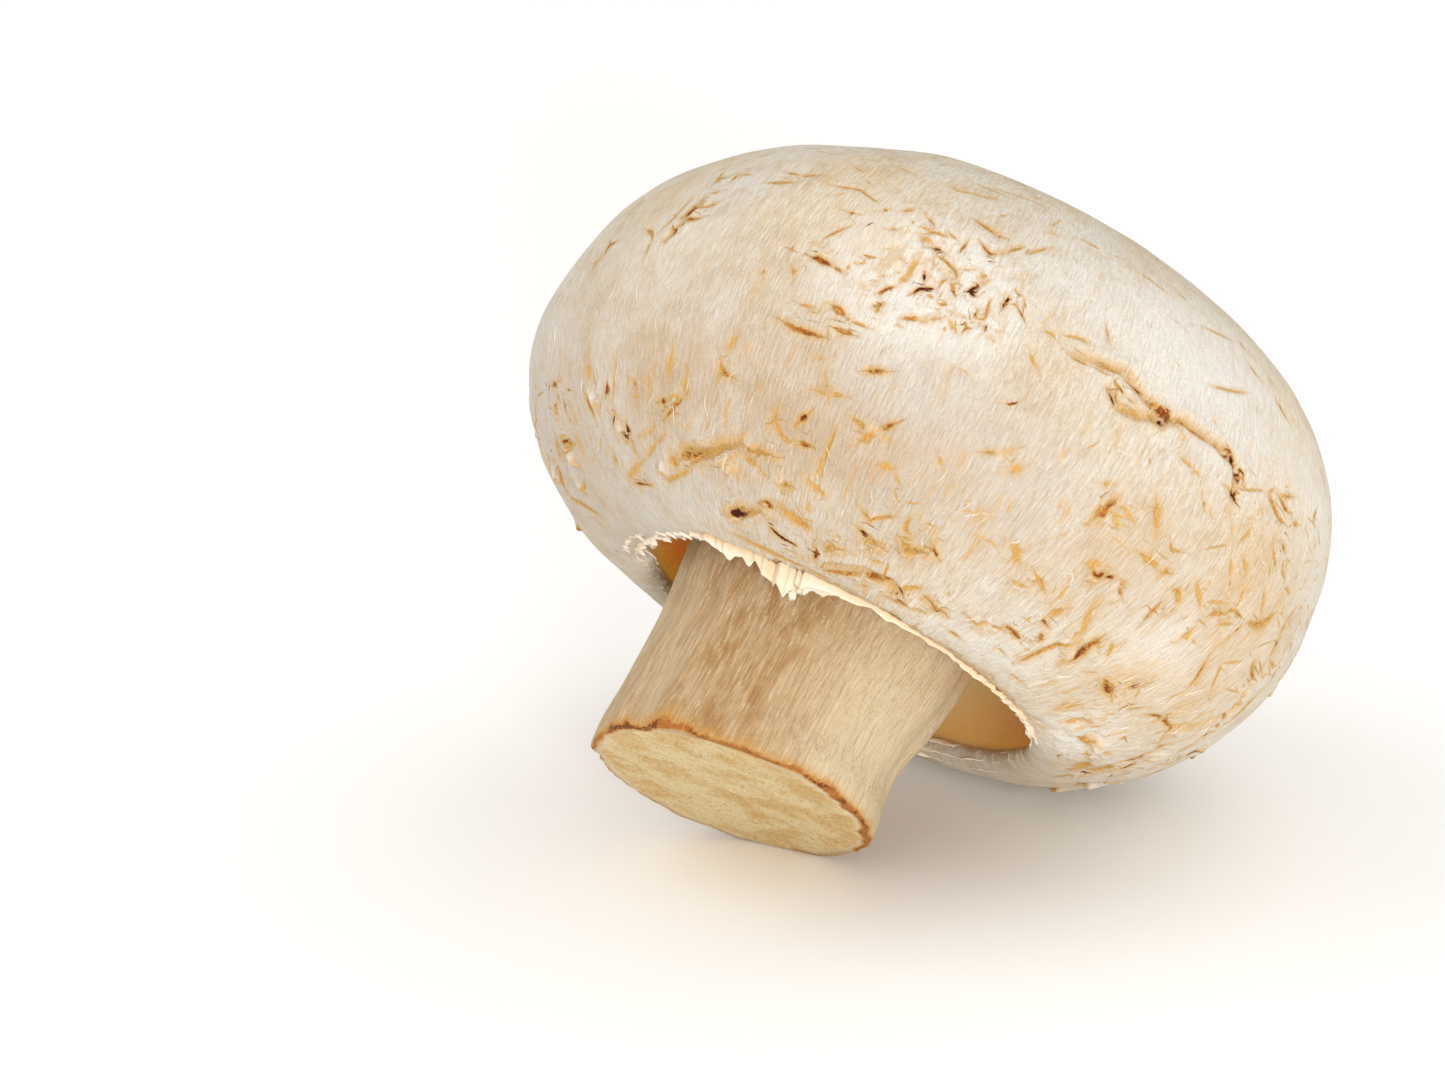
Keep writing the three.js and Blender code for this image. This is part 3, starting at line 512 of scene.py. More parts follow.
    ([1535, 405, 2, 3, 38, 3, 28, 9], 18, 70), ([1603, 420, 39, 14], 23, 80, 5),
    ([1628, 424, 0, 3], 29, 95, 80), ([1642, 434, 0, 4, 16, 4], 17, 80, 10),
    ([1658, 440, 0, 2], 23, 90, 100), ([1672, 441, 0, 3], 28, 90, 90), ([1642, 406, 30, 21], 23, 70, 5),
    ([1477, 443, -35, -16], 17, 62), ([1470, 454, 7, -11], 14, 40), ([1509, 432, -30, -9, -15, -1], 15, 50),
    ([1471, 422, 37, -11], 15, 38), ([1352, 474, 35, 4], 51, 85, 30), ([1396, 466, 7, -5], 34, 95, 60),
    ([1436, 477, 8, -4], 28, 75, 10), ([1495, 468, 15, -4, 39, -2], 28, 90, 25),
    ([1511, 462, 9, -5], 19, 50), ([1589, 466, -20, -3, -6, -5], 26, 85, 10),
    ([1612, 471, -30, -5], 20, 80, 5), ([1642, 473, -14, -2, 0, -3], 23, 80, 5),
    ([1642, 473, 0, 5, 16, 8, 0, 8, 14, 8], 20, 85, 20), ([1732, 504, -14, -6, 0, -6, -30, -6], 23, 90, 50),
    ([1672, 524, 0, -10], 29, 90, 100), ([1732, 518, 16, -8], 32, 90, 100),
    ([1497, 517, 34, -12], 32, 60, 5), ([1564, 508, 28, -6], 26, 55, 5), ([1390, 513, -6, -11], 45, 42, 5),
    ([1441, 516, 5, -11], 45, 36, 5), ([188, 342, 0, -6, 14, -2], 19, 80),
    ([188, 342, -16, 5, 0, 5], 15, 42), ([282, 329, 15, 2, 11, 5], 19, 65), ([309, 339, 3, 9], 14, 50, 10),
    ([349, 336, -1, -5, 20, -7, 22, -3], 18, 80, 5), ([316, 330, 13, -11, 0, -13], 14, 50),
    ([351, 319, 6, -8, 15, -3], 20, 90, 10), ([371, 314, 27, -6], 15, 60, 5),
    ([350, 286, -2, -4, 17, -1], 15, 65, 10), ([385, 284, -2, -5], 15, 75, 10),
    ([395, 277, 12, 1], 13, 50, 10), ([370, 298, 12, -2], 17, 50), ([463, 286, 40, -3], 17, 60),
    ([478, 273, 19, 1], 15, 60), ([510, 275, 20, -2], 15, 52),
]]
mark_lines = [(places(bends), width, orange) for bends, width, orange, _, _ in MARKS]

# ---- the fine net of the body ----
ICOSPHERE_LEVEL = 6
SPLIT_PASSES = 4
# longest edges in mm, where the camera sees the body and where it doesn't, and round what is fine
EDGE = dict(seen=0.47, hidden=1.1, flake=0.34, scales=0.28, mark=0.4, margin=0.36, rim=0.36)
SEEN_FROM = -0.12  # least share of a normal that points at the camera
LINE_REACH = 14  # mm from the middle of a crack or mark to the farthest point that it can touch


def wanted_edge(direction, p):
    run = angles(direction)[1]
    visible = lay_way(body_normals(direction)) @ np.array(CAMERA_BACK) > SEEN_FROM
    edge = np.where(visible, EDGE["seen"], EDGE["hidden"])

    def finer(where, kind):
        edge[where] = np.minimum(edge[where], EDGE[kind])

    finer(visible & (np.abs(run - (FLANK_END + LIP_END) / 2) < 2.2), "margin")
    finer(visible & (np.abs(run - EDGE_END + CUT_EDGE / 2) < 1.6), "rim")
    for flake in flakes:
        middle = flake["at"] - flake["tip"] * 0.2 * flake["length"]
        finer(visible & (np.linalg.norm(p - middle, axis=1) < 0.75 * flake["length"]), "flake")
    for patch in patches:
        d = p - patch["at"]
        inside = np.hypot(d @ patch["across"] / patch["wide"], d @ patch["down"] / patch["tall"]) < 1.1
        finer(visible & inside & (np.linalg.norm(d, axis=1) < 12), "scales")
    for bends, width, _ in mark_lines:
        close = nearby(p, bends.mean(0), LINE_REACH)
        finer(close[polyline_distance(bends, p[close]) < width * 0.5 + 0.3], "mark")
    return edge


def make_net():
    net = bmesh.new()
    bmesh.ops.create_icosphere(net, subdivisions=ICOSPHERE_LEVEL, radius=1)
    direction = unit(np.array([v.co[:] for v in net.verts]))
    triangles = np.array([[v.index for v in f.verts] for f in net.faces])
    net.free()
    for _ in range(SPLIT_PASSES):
        point = body_points(*angles(direction))
        sides = np.stack([triangles[:, [0, 1]], triangles[:, [1, 2]], triangles[:, [2, 0]]], 1)
        flat = np.sort(sides.reshape(-1, 2), axis=1)
        edges, which = np.unique(flat, axis=0, return_inverse=True)
        half = unit(direction[edges[:, 0]] + direction[edges[:, 1]])
        length = np.linalg.norm(point[edges[:, 0]] - point[edges[:, 1]], axis=1)
        split = length > wanted_edge(half, body_points(*angles(half)))
        name = np.full(len(edges), -1)
        name[split] = len(direction) + np.arange(split.sum())
        direction = np.vstack([direction, half[split]])
        triangles = split_triangles(triangles, name[which.reshape(-1, 3)])
    return direction, triangles


def split_triangles(corners, halves):
    """The pieces of each triangle whose sides are halved at the given points, or whole where -1."""
    made = []

    def add(*pieces):
        made.extend(np.stack(piece, 1) for piece in pieces)

    count = (halves >= 0).sum(1)
    made.append(corners[count == 0])
    (a, b, c), (ab, bc, ca) = corners[count == 3].T, halves[count == 3].T
    add((a, ab, ca), (ab, b, bc), (ca, bc, c), (ab, bc, ca))
    some = (count == 1) | (count == 2)
    corners, halves = corners[some], halves[some]
    # turned so that the first side is halved, and with two halves the last one isn't
    first = (halves >= 0) & (np.roll(halves, 1, axis=1) < 0)
    pick = (np.argmax(first, axis=1)[:, None] + np.arange(3)) % 3
    corners, halves = np.take_along_axis(corners, pick, 1), np.take_along_axis(halves, pick, 1)
    one = halves[:, 1] < 0
    (a, b, c), (ab, _, _) = corners[one].T, halves[one].T
    add((a, ab, c), (ab, b, c))
    (a, b, c), (ab, bc, _) = corners[~one].T, halves[~one].T
    add((ab, b, bc), (a, ab, bc), (a, bc, c))
    return np.vstack(made)


# ---- relief of the skin, in mm along the normal, and the masks that go with it ----
CAP_WAVES = ((0.16, 6.5, 3), (0.07, 2.6, 4))
STEM_RIDGES, RIDGE_STRETCH = ((0.09, 1.1, 5), (0.06, 0.6, 6)), 7
STEP_DEPTH, STEP_AZIMUTHS = 0.34, ((30, 50), (135, 160))  # where it sets in and where it ends
SPONGY_PLACE = (153, 51.5)  # azimuth and run of the lumpy lip at the right-hand opening
CRACK_DEPTH, CRACK_LIP, MARK_DEPTH = 0.26, 0.10, 0.06


def lift_mask(masks, name, values, where=slice(None)):
    masks[name][where] = np.maximum(masks[name][where], values)


def body_relief(p, azimuth, run, masks):
    on_cap = smoothstep(run, 0, 8) * (1 - smoothstep(run, FLANK_END - 1, FLANK_END + 1))
    on_cap = np.where(run < FLANK_END, np.maximum(on_cap, 0.4), on_cap)
    relief = on_cap * waves(p, CAP_WAVES)
    stem = smoothstep(run, WALL_END, ROOF_END) * (1 - smoothstep(run, EDGE_END - 2, EDGE_END))
    relief += stem * (waves(p / (1, 1, RIDGE_STRETCH), STEM_RIDGES) + 0.08 * noise(p / 4.0, 7))
    cut = smoothstep(run, EDGE_END - 0.2, EDGE_END + 0.8)
    rows = np.stack([p[:, 0] * 0.9 + p[:, 1] * 0.35, p[:, 1] * 0.35 - p[:, 0] * 0.1, p[:, 2]], 1)
    relief += cut * (0.12 * np.abs(noise(rows / 1.1, 8)) + 0.12 * noise(p / 2.4, 9))
    # the ragged step where the flank's skin ends above the veil, stained below it as painted shade in the
    # recess
    degrees = np.degrees(azimuth) % 360
    ring = circle(azimuth)
    edge_run = FLANK_END - 0.75 + 0.55 * noise(ring * 4, 70) + 0.22 * noise(ring * 24, 71)
    under = smoothstep(run - edge_run, 0, 0.16) * (1 - smoothstep(run, LIP_END - 0.4, LIP_END + 0.6))
    under *= smoothstep(degrees, *STEP_AZIMUTHS[0]) * (1 - smoothstep(degrees, *STEP_AZIMUTHS[1]))
    relief -= STEP_DEPTH * under
    lift_mask(masks, "stain_and_shade", 0.45 * under)
    off = off_middle(degrees, SPONGY_PLACE[0])
    spongy = bell(off / 12, (run - SPONGY_PLACE[1]) / 2.6) * (run < LIP_END)
    lumps = 0.5 * (0.5 - np.abs(noise(p * (1, 1, 0.5) / 0.9, 72)))
    relief += spongy * (lumps + 0.25 * noise(p / 0.5, 73))
    lift_mask(masks, "pale_and_highlight", spongy)
    for n, flake in enumerate(flakes):
        add_flake(n, flake, p, relief, masks)
    for patch in patches:
        add_patch(patch, p, relief, masks)
    for bends in crack_lines:
        close = nearby(p, bends.mean(0), LINE_REACH)
        far = polyline_distance(bends, p[close]) + 0.12 * noise(p[close] / 0.7, 44)
        relief[close] -= CRACK_DEPTH * (1 - smoothstep(far, 0.0, 0.45)) - CRACK_LIP * bell((far - 0.6) / 0.25)
        lift_mask(masks, "stain_and_shade", 0.8 * (1 - smoothstep(far, 0.0, 0.7)), close)
    for bends, width, orange in mark_lines:
        close = nearby(p, bends.mean(0), LINE_REACH)
        far = polyline_distance(bends, p[close]) + 0.15 * noise(p[close] / 0.6, 45)
        halo = 1 - smoothstep(far, 0.0, width * 1.1 + 0.25)
        relief[close] -= MARK_DEPTH * halo
        lift_mask(masks, "stain_and_shade", halo * 0.8 * orange, close)
    return relief


def add_flake(n, flake, p, relief, masks):
    """A wedge that rises to its tip and drops there, pale before the drop as painted highlight, and stained
    past it, partly as painted shadow under the tip.
    """
    close = nearby(p, flake["at"], 1.3 * flake["length"])
    if not len(close):
        return
    q, d = p[close], p[close] - flake["at"]
    wobble = 0.10 * noise(q / 0.8 + n, 30) + 0.05 * noise(q / 0.3 + n, 31)
    along = d @ flake["tip"] / flake["length"] + wobble
    half = 0.5 * flake["width"] * np.where(along < 0, 0.35 - 0.65 * along, 0.5)
    across = d @ flake["side"] / half
    inside = (np.abs(across) < 1) & (along > -1) & (along < 0.55)
    edge = 1 - across ** 2
    up = np.where(along < 0, np.maximum(1 + along, 0) ** 1.4, 1 - smoothstep(along, 0, FLAKE_STEP))
    pit = np.where(along >= 0, -0.25 * smoothstep(along, 0, 0.12) * (1 - smoothstep(along, 0.12, 0.5)), 0)
    relief[close] += np.where(inside, FLAKE_SHARE * flake["height"] * edge * (up + pit), 0)
    shade = np.where(inside & (along > -0.04), edge * (1 - smoothstep(along, 0.05, 0.4)), 0)
    lift_mask(masks, "stain_and_shade", 0.7 * shade, close)
    lit = np.where(inside & (along < 0), edge * smoothstep(along, -0.35, -0.05), 0)
    lift_mask(masks, "pale_and_highlight", 0.7 * lit, close)


def add_patch(patch, p, relief, masks):
    """Two sizes of small scales with stained furrows between them, the stain partly painted shade in the
    furrows.
    """
    close = nearby(p, patch["at"], 13)
    q, d = p[close], p[close] - patch["at"]
    x, y = d @ patch["across"], d @ patch["down"]
    share = 1 - smoothstep(np.hypot(x / patch["wide"], y / patch["tall"]), 0.55, 1.15)
    x, y = (v + 0.45 * noise(q / 1.3, seed) + 0.15 * noise(q / 0.45, seed + 6)
            for v, seed in ((x, 40), (y, 41)))
    deep = smoothstep(noise(q / 1.9, 42), -0.35, 0.5)
    for centres, amount in ((patch["centres"], 0.34), (patch["fine"], 0.2)):
        far = np.hypot(x[:, None] - centres[:, 0], y[:, None] - centres[:, 1])
        far = np.partition(far, 1, axis=1)
        gap = far[:, 1] - far[:, 0]
        scale = smoothstep(gap, 0, 0.5) - 0.6
        relief[close] += share * patch["height"] * amount * scale * (0.35 + 0.65 * deep)
        furrow = share * deep * (1 - smoothstep(gap, 0.0, 0.28))
        lift_mask(masks, "stain_and_shade", np.maximum(furrow * 0.6, furrow ** 2 * 0.5), close)
    lift_mask(masks, "pale_and_highlight", 0.8 * share, close)


RAGGED_WAVES = ((0.6, 1.4, 81), (0.3, 0.5, 82))
RIM_WAVES = ((0.16, 0.9, 61), (0.4, 2.6, 62))
# broad golden stains: azimuth, run, reach across and down in mm, strength
STAINS = [
    (139, 46.5, 5.5, 2.6, 0.55), (150, 44.0, 4.0, 3.0, 0.3), (138, 36.5, 2.5, 6.0, 0.35),
    (146, 40.0, 3.0, 5.0, 0.35), (57, 25.5, 7.0, 2.5, 0.3), (28, 30.0, 4.0, 5.0, 0.2),
    (118, 41.5, 3.0, 2.5, 0.25), (108, 45.0, 4.0, 2.0, 0.25), (68, 31.0, 4.0, 3.0, 0.2),
    (104, 33.5, 4.0, 1.8, 0.25), (88, 42.5, 5.0, 1.6, 0.3), (12, 47.0, 2.5, 4.0, 0.3),
]
# broad tints of the cap by mask, tan and pink as painted shade, pale as painted highlight, fleck where golden
# flecks gather: share, azimuth, run, reach round in degrees, reach down in mm
TINTS = {
    "tan_and_shade": [(0.3, 32, 36, 20, 7), (0.45, 66, 45, 30, 6), (0.1, 100, 24, 40, 5), (0.45, 35, 44, 25, 5),
            (0.35, 150, 44, 20, 8), (0.35, 128, 41, 18, 5), (0.9, 75, 43.4, 13, 2.8), (0.3, 62, 38, 12, 5),
            (0.5, 42, 43, 9, 4), (0.5, 352, 50, 26, 5)],
    "painted_pink_shade": [(1, 5, 46, 30, 8), (0.5, 60, 50, 30, 4), (0.9, 90, 41, 34, 7), (0.4, 58, 47, 8, 3)],
    "pale_and_highlight": [(0.8, 113, 28, 20, 5), (0.6, 146, 31, 16, 5), (0.6, 136, 44.5, 9, 3), (0.4, 36, 33, 10, 4),
             (0.5, 108, 51, 20, 2)],
    "fleck": [(0.9, 95, 48, 34, 6), (0.8, 35, 46, 30, 5), (0.8, 150, 46, 30, 8), (0.35, 76, 32.8, 26, 9),
              (0.6, 120, 33, 20, 7)],
}
MASKS = ("pale_and_highlight", "stain_and_shade", "tan_and_shade", "painted_pink_shade", "fleck", "stem", "cut", "groove", "rust")


def place_masks(p, azimuth, run, masks):
    degrees = np.degrees(azimuth) % 360
    on_cap = 1 - smoothstep(run, FLANK_END, LIP_END)
    uneven = noise(p / 5.0, 60)
    ragged = 0.75 + waves(p, RAGGED_WAVES)
    for around, at, across, down, strength in STAINS:
        off = np.radians(off_middle(np.degrees(azimuth), around)) * CAP_RADIUS
        spot = bell(off / across, (run - at) / down) * (run < FLANK_END)
        lift_mask(masks, "stain_and_shade", strength * spot * np.clip(ragged, 0.1, 1.5))

    def tint(name):
        return sum(share * bell(off_middle(degrees, around) / wide, (run - at) / tall)
                   for share, around, at, wide, tall in TINTS[name])

    # painted shade on the cap from the tan and pink tints, over uneven noise in the skin's own tone
    masks["tan_and_shade"] += on_cap * np.clip(tint("tan_and_shade") + 0.18 * uneven, 0, 1)
    masks["painted_pink_shade"] += on_cap * np.clip(tint("painted_pink_shade") + 0.15 * uneven, 0, 1)
    fleck = tint("fleck") + 0.3 + 0.5 * (1 - smoothstep(np.abs(run - 47), 3, 9))
    masks["fleck"] += on_cap * np.clip(fleck, 0, 1)
    # the stem: lighter at two azimuths as painted highlights, darker in front and on the far side, and darker
    # up under the cap as painted shade
    off, left = off_middle(degrees, 66), off_middle(degrees, 14)
    stem_painted_highlight = bell((degrees - 125) / 26) + 0.6 * bell((degrees - 2) / 14)
    lift_mask(masks, "pale_and_highlight", (1 - on_cap) * np.clip(stem_painted_highlight + 0.2 * uneven, 0, 1))
    # painted highlights on the cap from the pale tints
    lift_mask(masks, "pale_and_highlight", on_cap * np.clip(tint("pale_and_highlight") + 0.15 * uneven, 0, 1))
    stem_tan_and_shade = 0.1 + 0.9 * bell(off / 38) + 0.35 * bell(left / 14) + 0.35 * smoothstep(p[:, 2], 7, 14)
    stem_tan_and_shade += 0.5 * smoothstep(np.abs(off), 110, 150) + 0.2 * uneven
    masks["tan_and_shade"] += (1 - on_cap) * np.clip(stem_tan_and_shade, 0, 1)
    on_cut = smoothstep(run, EDGE_END - 0.1, EDGE_END + 0.3)
    masks["stem"] += smoothstep(run, WALL_END, ROOF_END) * (1 - on_cut)
    masks["cut"] += on_cut
    past_lip = smoothstep(run, LIP_END - 0.6, LIP_END + 0.8)
    masks["groove"] += past_lip * (1 - smoothstep(run, ROOF_END - 1, ROOF_END + 1.5))
    # the brown rim of the cut, uneven, with spikes and a glow up the stem
    spikes = np.maximum(noise(p * (1, 1, 0) / 0.8, 63) - 0.3, 0)
    ring = run - (EDGE_END - 0.4) + waves(p, RIM_WAVES)
    facing = 0.45 + 0.55 * smoothstep(np.sin(azimuth), -0.6, 0.1)
    thick = 0.15 + 0.1 * noise(p / 1.7, 64)
    above = np.minimum(ring, 0)
    glow = bell(above / (0.8 + 0.5 * noise(p / 3.0, 65))) * (ring < 0.3)
    rust = bell(ring / (1.5 * thick)) + 0.4 * glow + spikes * bell(above) * (ring < 0.2)
    masks["rust"] += facing * rust * (1 - smoothstep(ring, 0.2, 0.6))


def link(name, data):
    made = bpy.data.objects.new(name, data)
    bpy.context.scene.collection.objects.link(made)
    return made


def mesh_object(name, points_mm, faces, material, attributes):
    mesh = bpy.data.meshes.new(name)
    mesh.vertices.add(len(points_mm))
    mesh.vertices.foreach_set("co", (points_mm * MM).astype(np.float32).ravel())
    mesh.loops.add(faces.size)
    mesh.loops.foreach_set("vertex_index", faces.astype(np.int32).ravel())
    mesh.polygons.add(len(faces))
    mesh.polygons.foreach_set("loop_start", np.arange(0, faces.size, 3, dtype=np.int32))
    mesh.polygons.foreach_set("loop_total", np.full(len(faces), 3, np.int32))
    mesh.update(calc_edges=True)
    mesh.validate()
    mesh.polygons.foreach_set("use_smooth", np.ones(len(faces), bool))
    for key, values in attributes.items():
        kind, field = ("FLOAT_VECTOR", "vector") if values.ndim == 2 else ("FLOAT", "value")
        attribute = mesh.attributes.new(key, kind, "POINT")
        attribute.data.foreach_set(field, values.astype(np.float32).ravel())
    mesh.materials.append(material)
    return link(name, mesh)


def skin_at(azimuth, run, normals, lift=0.0):
    """Where places of the smooth body lie on the fine skin, their upright points and their masks."""
    p = body_points(azimuth, run)
    masks = {name: np.zeros(len(p)) for name in MASKS}
    place_masks(p, azimuth, run, masks)
    relief = body_relief(p, azimuth, run, masks)
    raised = lay(p + normals * (relief + lift)[:, None])
    return raised, p, {name: np.clip(values, 0, 1) for name, values in masks.items()}


def make_body(material, tears):
    direction, triangles = make_net()
    azimuth, run = angles(direction)
    raised, p, attributes = skin_at(azimuth, run, body_normals(direction))
    # mm across and along the grain of the skin, unbroken all round
    attributes["fibre"] = CAP_RADIUS * circle(azimuth) + np.stack([0 * run, 0 * run, run], 1)
    attributes["upright"] = p
    attributes["tear"], attributes["tear_tone"] = place_tears(p, tears)
    return mesh_object("mushroom_body", raised, triangles, material, attributes)


def facing_out(points, faces):
    """The faces of closed shells, turned over if they face inwards."""
    a, b, c = (points[faces[:, i]] - points.mean(0) for i in range(3))
    return faces if np.einsum("ij,ij->", a, np.cross(b, c)) > 0 else faces[:, ::-1]


# ---- tears, coloured into the skin ----
MARK_WIDENING = 1.25  # because its soft edge makes a mark look narrower than it is
POCKET_BELOW_TIP = 0.25  # mm from a loose flake's tip
# torn places, drawn at random: middle and reach as azimuth and run, count, length in mm, way of the
# tail (0 down the cap, 90 towards growing azimuth) and its spread, share of pockets, orange, dark share
TORN_PLACES = [
    ((90, 48.6), (36, 3.4), 40, (0.4, 1.5), (80, 30), 0.6, 0.5, 0.15),
    ((100, 44.5), (34, 3.0), 16, (0.4, 1.4), (75, 40), 0.5, 0.45, 0.1),
    ((34, 45.5), (24, 3.6), 30, (0.5, 1.8), (10, 24), 0.3, 0.5, 0.1),
    ((0, 46.0), (20, 4.5), 44, (0.6, 2.0), (20, 40), 0.5, 0.65, 0.3),
    ((76, 32.5), (15, 5.0), 50, (0.3, 0.9), (70, 80), 0.1, 0.55, 0.2),
    ((146, 46.0), (22, 5.5), 30, (0.4, 1.6), (30, 50), 0.3, 0.6, 0.15),
    ((176, 46.0), (14, 6.0), 50, (0.8, 3.2), (60, 40), 0.3, 0.8, 0.4),
    ((125, 36.0), (18, 6.0), 30, (0.4, 1.6), (60, 60), 0.2, 0.45, 0.05),
    ((95, 24.0), (45, 3.5), 26, (0.8, 3.0), (85, 16), 0.0, 0.42, 0.0),
    ((156, 36.0), (14, 6.0), 60, (0.6, 3.0), (88, 14), 0.0, 0.48, 0.05),
    ((260, 46.5), (70, 4.5), 240, (0.7, 2.6), (70, 50), 0.6, 0.7, 0.3),
    ((262, 27.0), (70, 9.0), 110, (0.5, 2.2), (70, 70), 0.3, 0.6, 0.2),
]


def make_tears(rng):
    """Every tear as its bends (radians, run), width in mm, orange, dark share and whether it is a pocket."""
    tears = [(bends * [math.pi / 180, 1], MARK_WIDENING * width, *tone) for bends, width, *tone in MARKS]
    for flake in flakes[len(FLAKES):]:  # a pocket below the tip of each loose flake, painted shadow under the lifted tip over torn flesh
        azimuth, run = flake["place"]
        way, half = flake["turn"] + math.radians(90), 0.45 * flake["width"]
        turn, down = half * math.sin(way) / axis_distance(azimuth, run), half * math.cos(way)
        bends = [(azimuth + k * turn, run + POCKET_BELOW_TIP + k * down) for k in (-1, 0, 1)]
        tears.append((np.array(bends), 0.3 * flake["length"], 0.9, 0.9 * flake["dark"], 1.0))

    def spread_out(middle, reach):
        return middle + reach * np.clip(rng.normal(0, 0.6), -1.4, 1.4)

    for middle, reach, count, lengths, (way, spread), pockets, orange, dark in TORN_PLACES:
        for _ in range(count):
            azimuth = math.radians(spread_out(middle[0], reach[0]))
            run = min(spread_out(middle[1], reach[1]), FLANK_END - 0.6)
            length = lengths[0] + (lengths[1] - lengths[0]) * rng.random() ** 2.2
            angle = math.radians(way + rng.normal(0, spread))
            pocket = float(rng.random() < pockets)
            width = length * rng.uniform(0.2, 0.5) if pocket else rng.uniform(0.09, 0.24)
            radius = axis_distance(azimuth, run)
            bends = [(azimuth, run)]
            for _ in range(2):
                angle += rng.normal(0, 0.3)
                azimuth += math.sin(angle) * length / 2 / radius
                run = min(run + math.cos(angle) * length / 2, FLANK_END - 0.3)
                bends.append((azimuth, run))
            tone = orange * rng.uniform(0.25, 1.1)
            tears.append((np.array(bends), width, tone, 2 * dark * max(0.0, rng.normal(0, 0.5)), pocket))
    return tears


TEAR_REACH = (0.45, 0.85)  # mm from a tear over which it stops colouring the skin
TEAR_GAP = 0.35  # mm between two tears' reaches where neither colours it
FAR = 9.0  # mm, farther than any tear reaches


def place_tears(p, tears):
    """For each point its place in the nearest tear (along from 0 to 1, across in half widths, nearness), and
    that tear's orange, dark share and pocket."""
    tree = kdtree.KDTree(len(p))
    for i, q in enumerate(p):
        tree.insert(q, i)
    tree.balance()
    best, second = np.full(len(p), FAR), np.full(len(p), FAR)
    where, tone = np.zeros((len(p), 3)), np.zeros((len(p), 3))
    for bends, width, *own_tone in tears:
        line, normal = body_points(*bends.T), surface_normals(*bends.T)
        steps = np.linalg.norm(np.diff(line, axis=0), axis=1)
        total = max(steps.sum(), 1e-6)
        middle = line.mean(0)
        reach = np.linalg.norm(line - middle, axis=1).max() + 1.6
        close = np.array([i for _, i, _ in tree.find_range(middle, reach)], int)
        if not len(close):
            continue
        q = p[close]
        near = np.full(len(q), FAR)
        u, v = np.zeros(len(q)), np.zeros(len(q))
        before = 0.0
        for k, (a, step) in enumerate(zip(line, steps)):
            length = max(step, 1e-6)
            way = (line[k + 1] - a) / length
            side = unit(np.cross(unit(normal[k] + normal[k + 1]), way))
            if side[2] > 0:  # towards the margin
                side = -side
            t = (q - a) @ way
            held = np.clip(t, 0, length)
            far = np.linalg.norm(q - a - held[:, None] * way, axis=1)
            # only the two ends run on past the line
            t = np.where((t < 0) & (k > 0) | (t > length) & (k < len(line) - 2), held, t)
            closer = far < near
            near = np.where(closer, far, near)
            u = np.where(closer, (before + t) / total, u)
            v = np.where(closer, (q - a) @ side / (0.5 * width), v)
            before += length
        near = near - 0.5 * width
        first = near < best[close]
        second[close] = np.where(first, best[close], np.minimum(second[close], near))
        best[close] = np.where(first, near, best[close])
        chosen = close[first]
        where[chosen, 0], where[chosen, 1] = u[first], v[first]
        tone[chosen] = own_tone
    where[:, 2] = (1 - smoothstep(best, *TEAR_REACH)) * smoothstep(second - best, 0, TEAR_GAP)
    return where, tone


# ---- pale fibres torn up from the skin ----
# middle and reach as azimuth and run, count
FIBRE_PLACES = [((95, 45), (50, 5), 34), ((150, 46), (22, 5), 16), ((40, 42), (30, 7), 8),
                ((260, 44), (70, 6), 30)]
FIBRE_LENGTH, FIBRE_WIDTH, FIBRE_LIFT, FIBRE_WIGGLE = (0.5, 1.5), (0.035, 0.06), 0.03, 0.012  # mm
FIBRE_STEP = 0.22  # mm from one section to the next
FIBRE_SECTION = ((-0.5, 0.0), (-0.2, 1.0), (0.2, 1.0), (0.5, 0.0), (0.0, -2.5))  # share of width, of lift
FIBRE_PALE = 0.4


def along_path(bends, rng):
    """Evenly spaced places along a bent line, wiggled sideways, their sideways steps and shares of it."""
    azimuth, run = np.array(bends, float).T
    azimuth = np.radians(azimuth)
    p = body_points(azimuth, run)
    far = np.concatenate([[0], np.cumsum(np.linalg.norm(np.diff(p, axis=0), axis=1))])
    n = max(4, int(far[-1] / FIBRE_STEP) + 1)
    t = np.linspace(0, far[-1], n)
    azimuth, run = np.interp(t, far, azimuth), np.interp(t, far, run)
    radius = axis_distance(azimuth, run)
    way = unit(np.stack([np.gradient(azimuth) * radius, np.gradient(run)], 1) + 1e-9)
    side = np.stack([-way[:, 1], way[:, 0]], 1)
    shake = rng.normal(0, FIBRE_WIGGLE, n)
    shake[[0, -1]] = 0
    return azimuth + side[:, 0] * shake / radius, run + side[:, 1] * shake, side, t / max(far[-1], 1e-6)


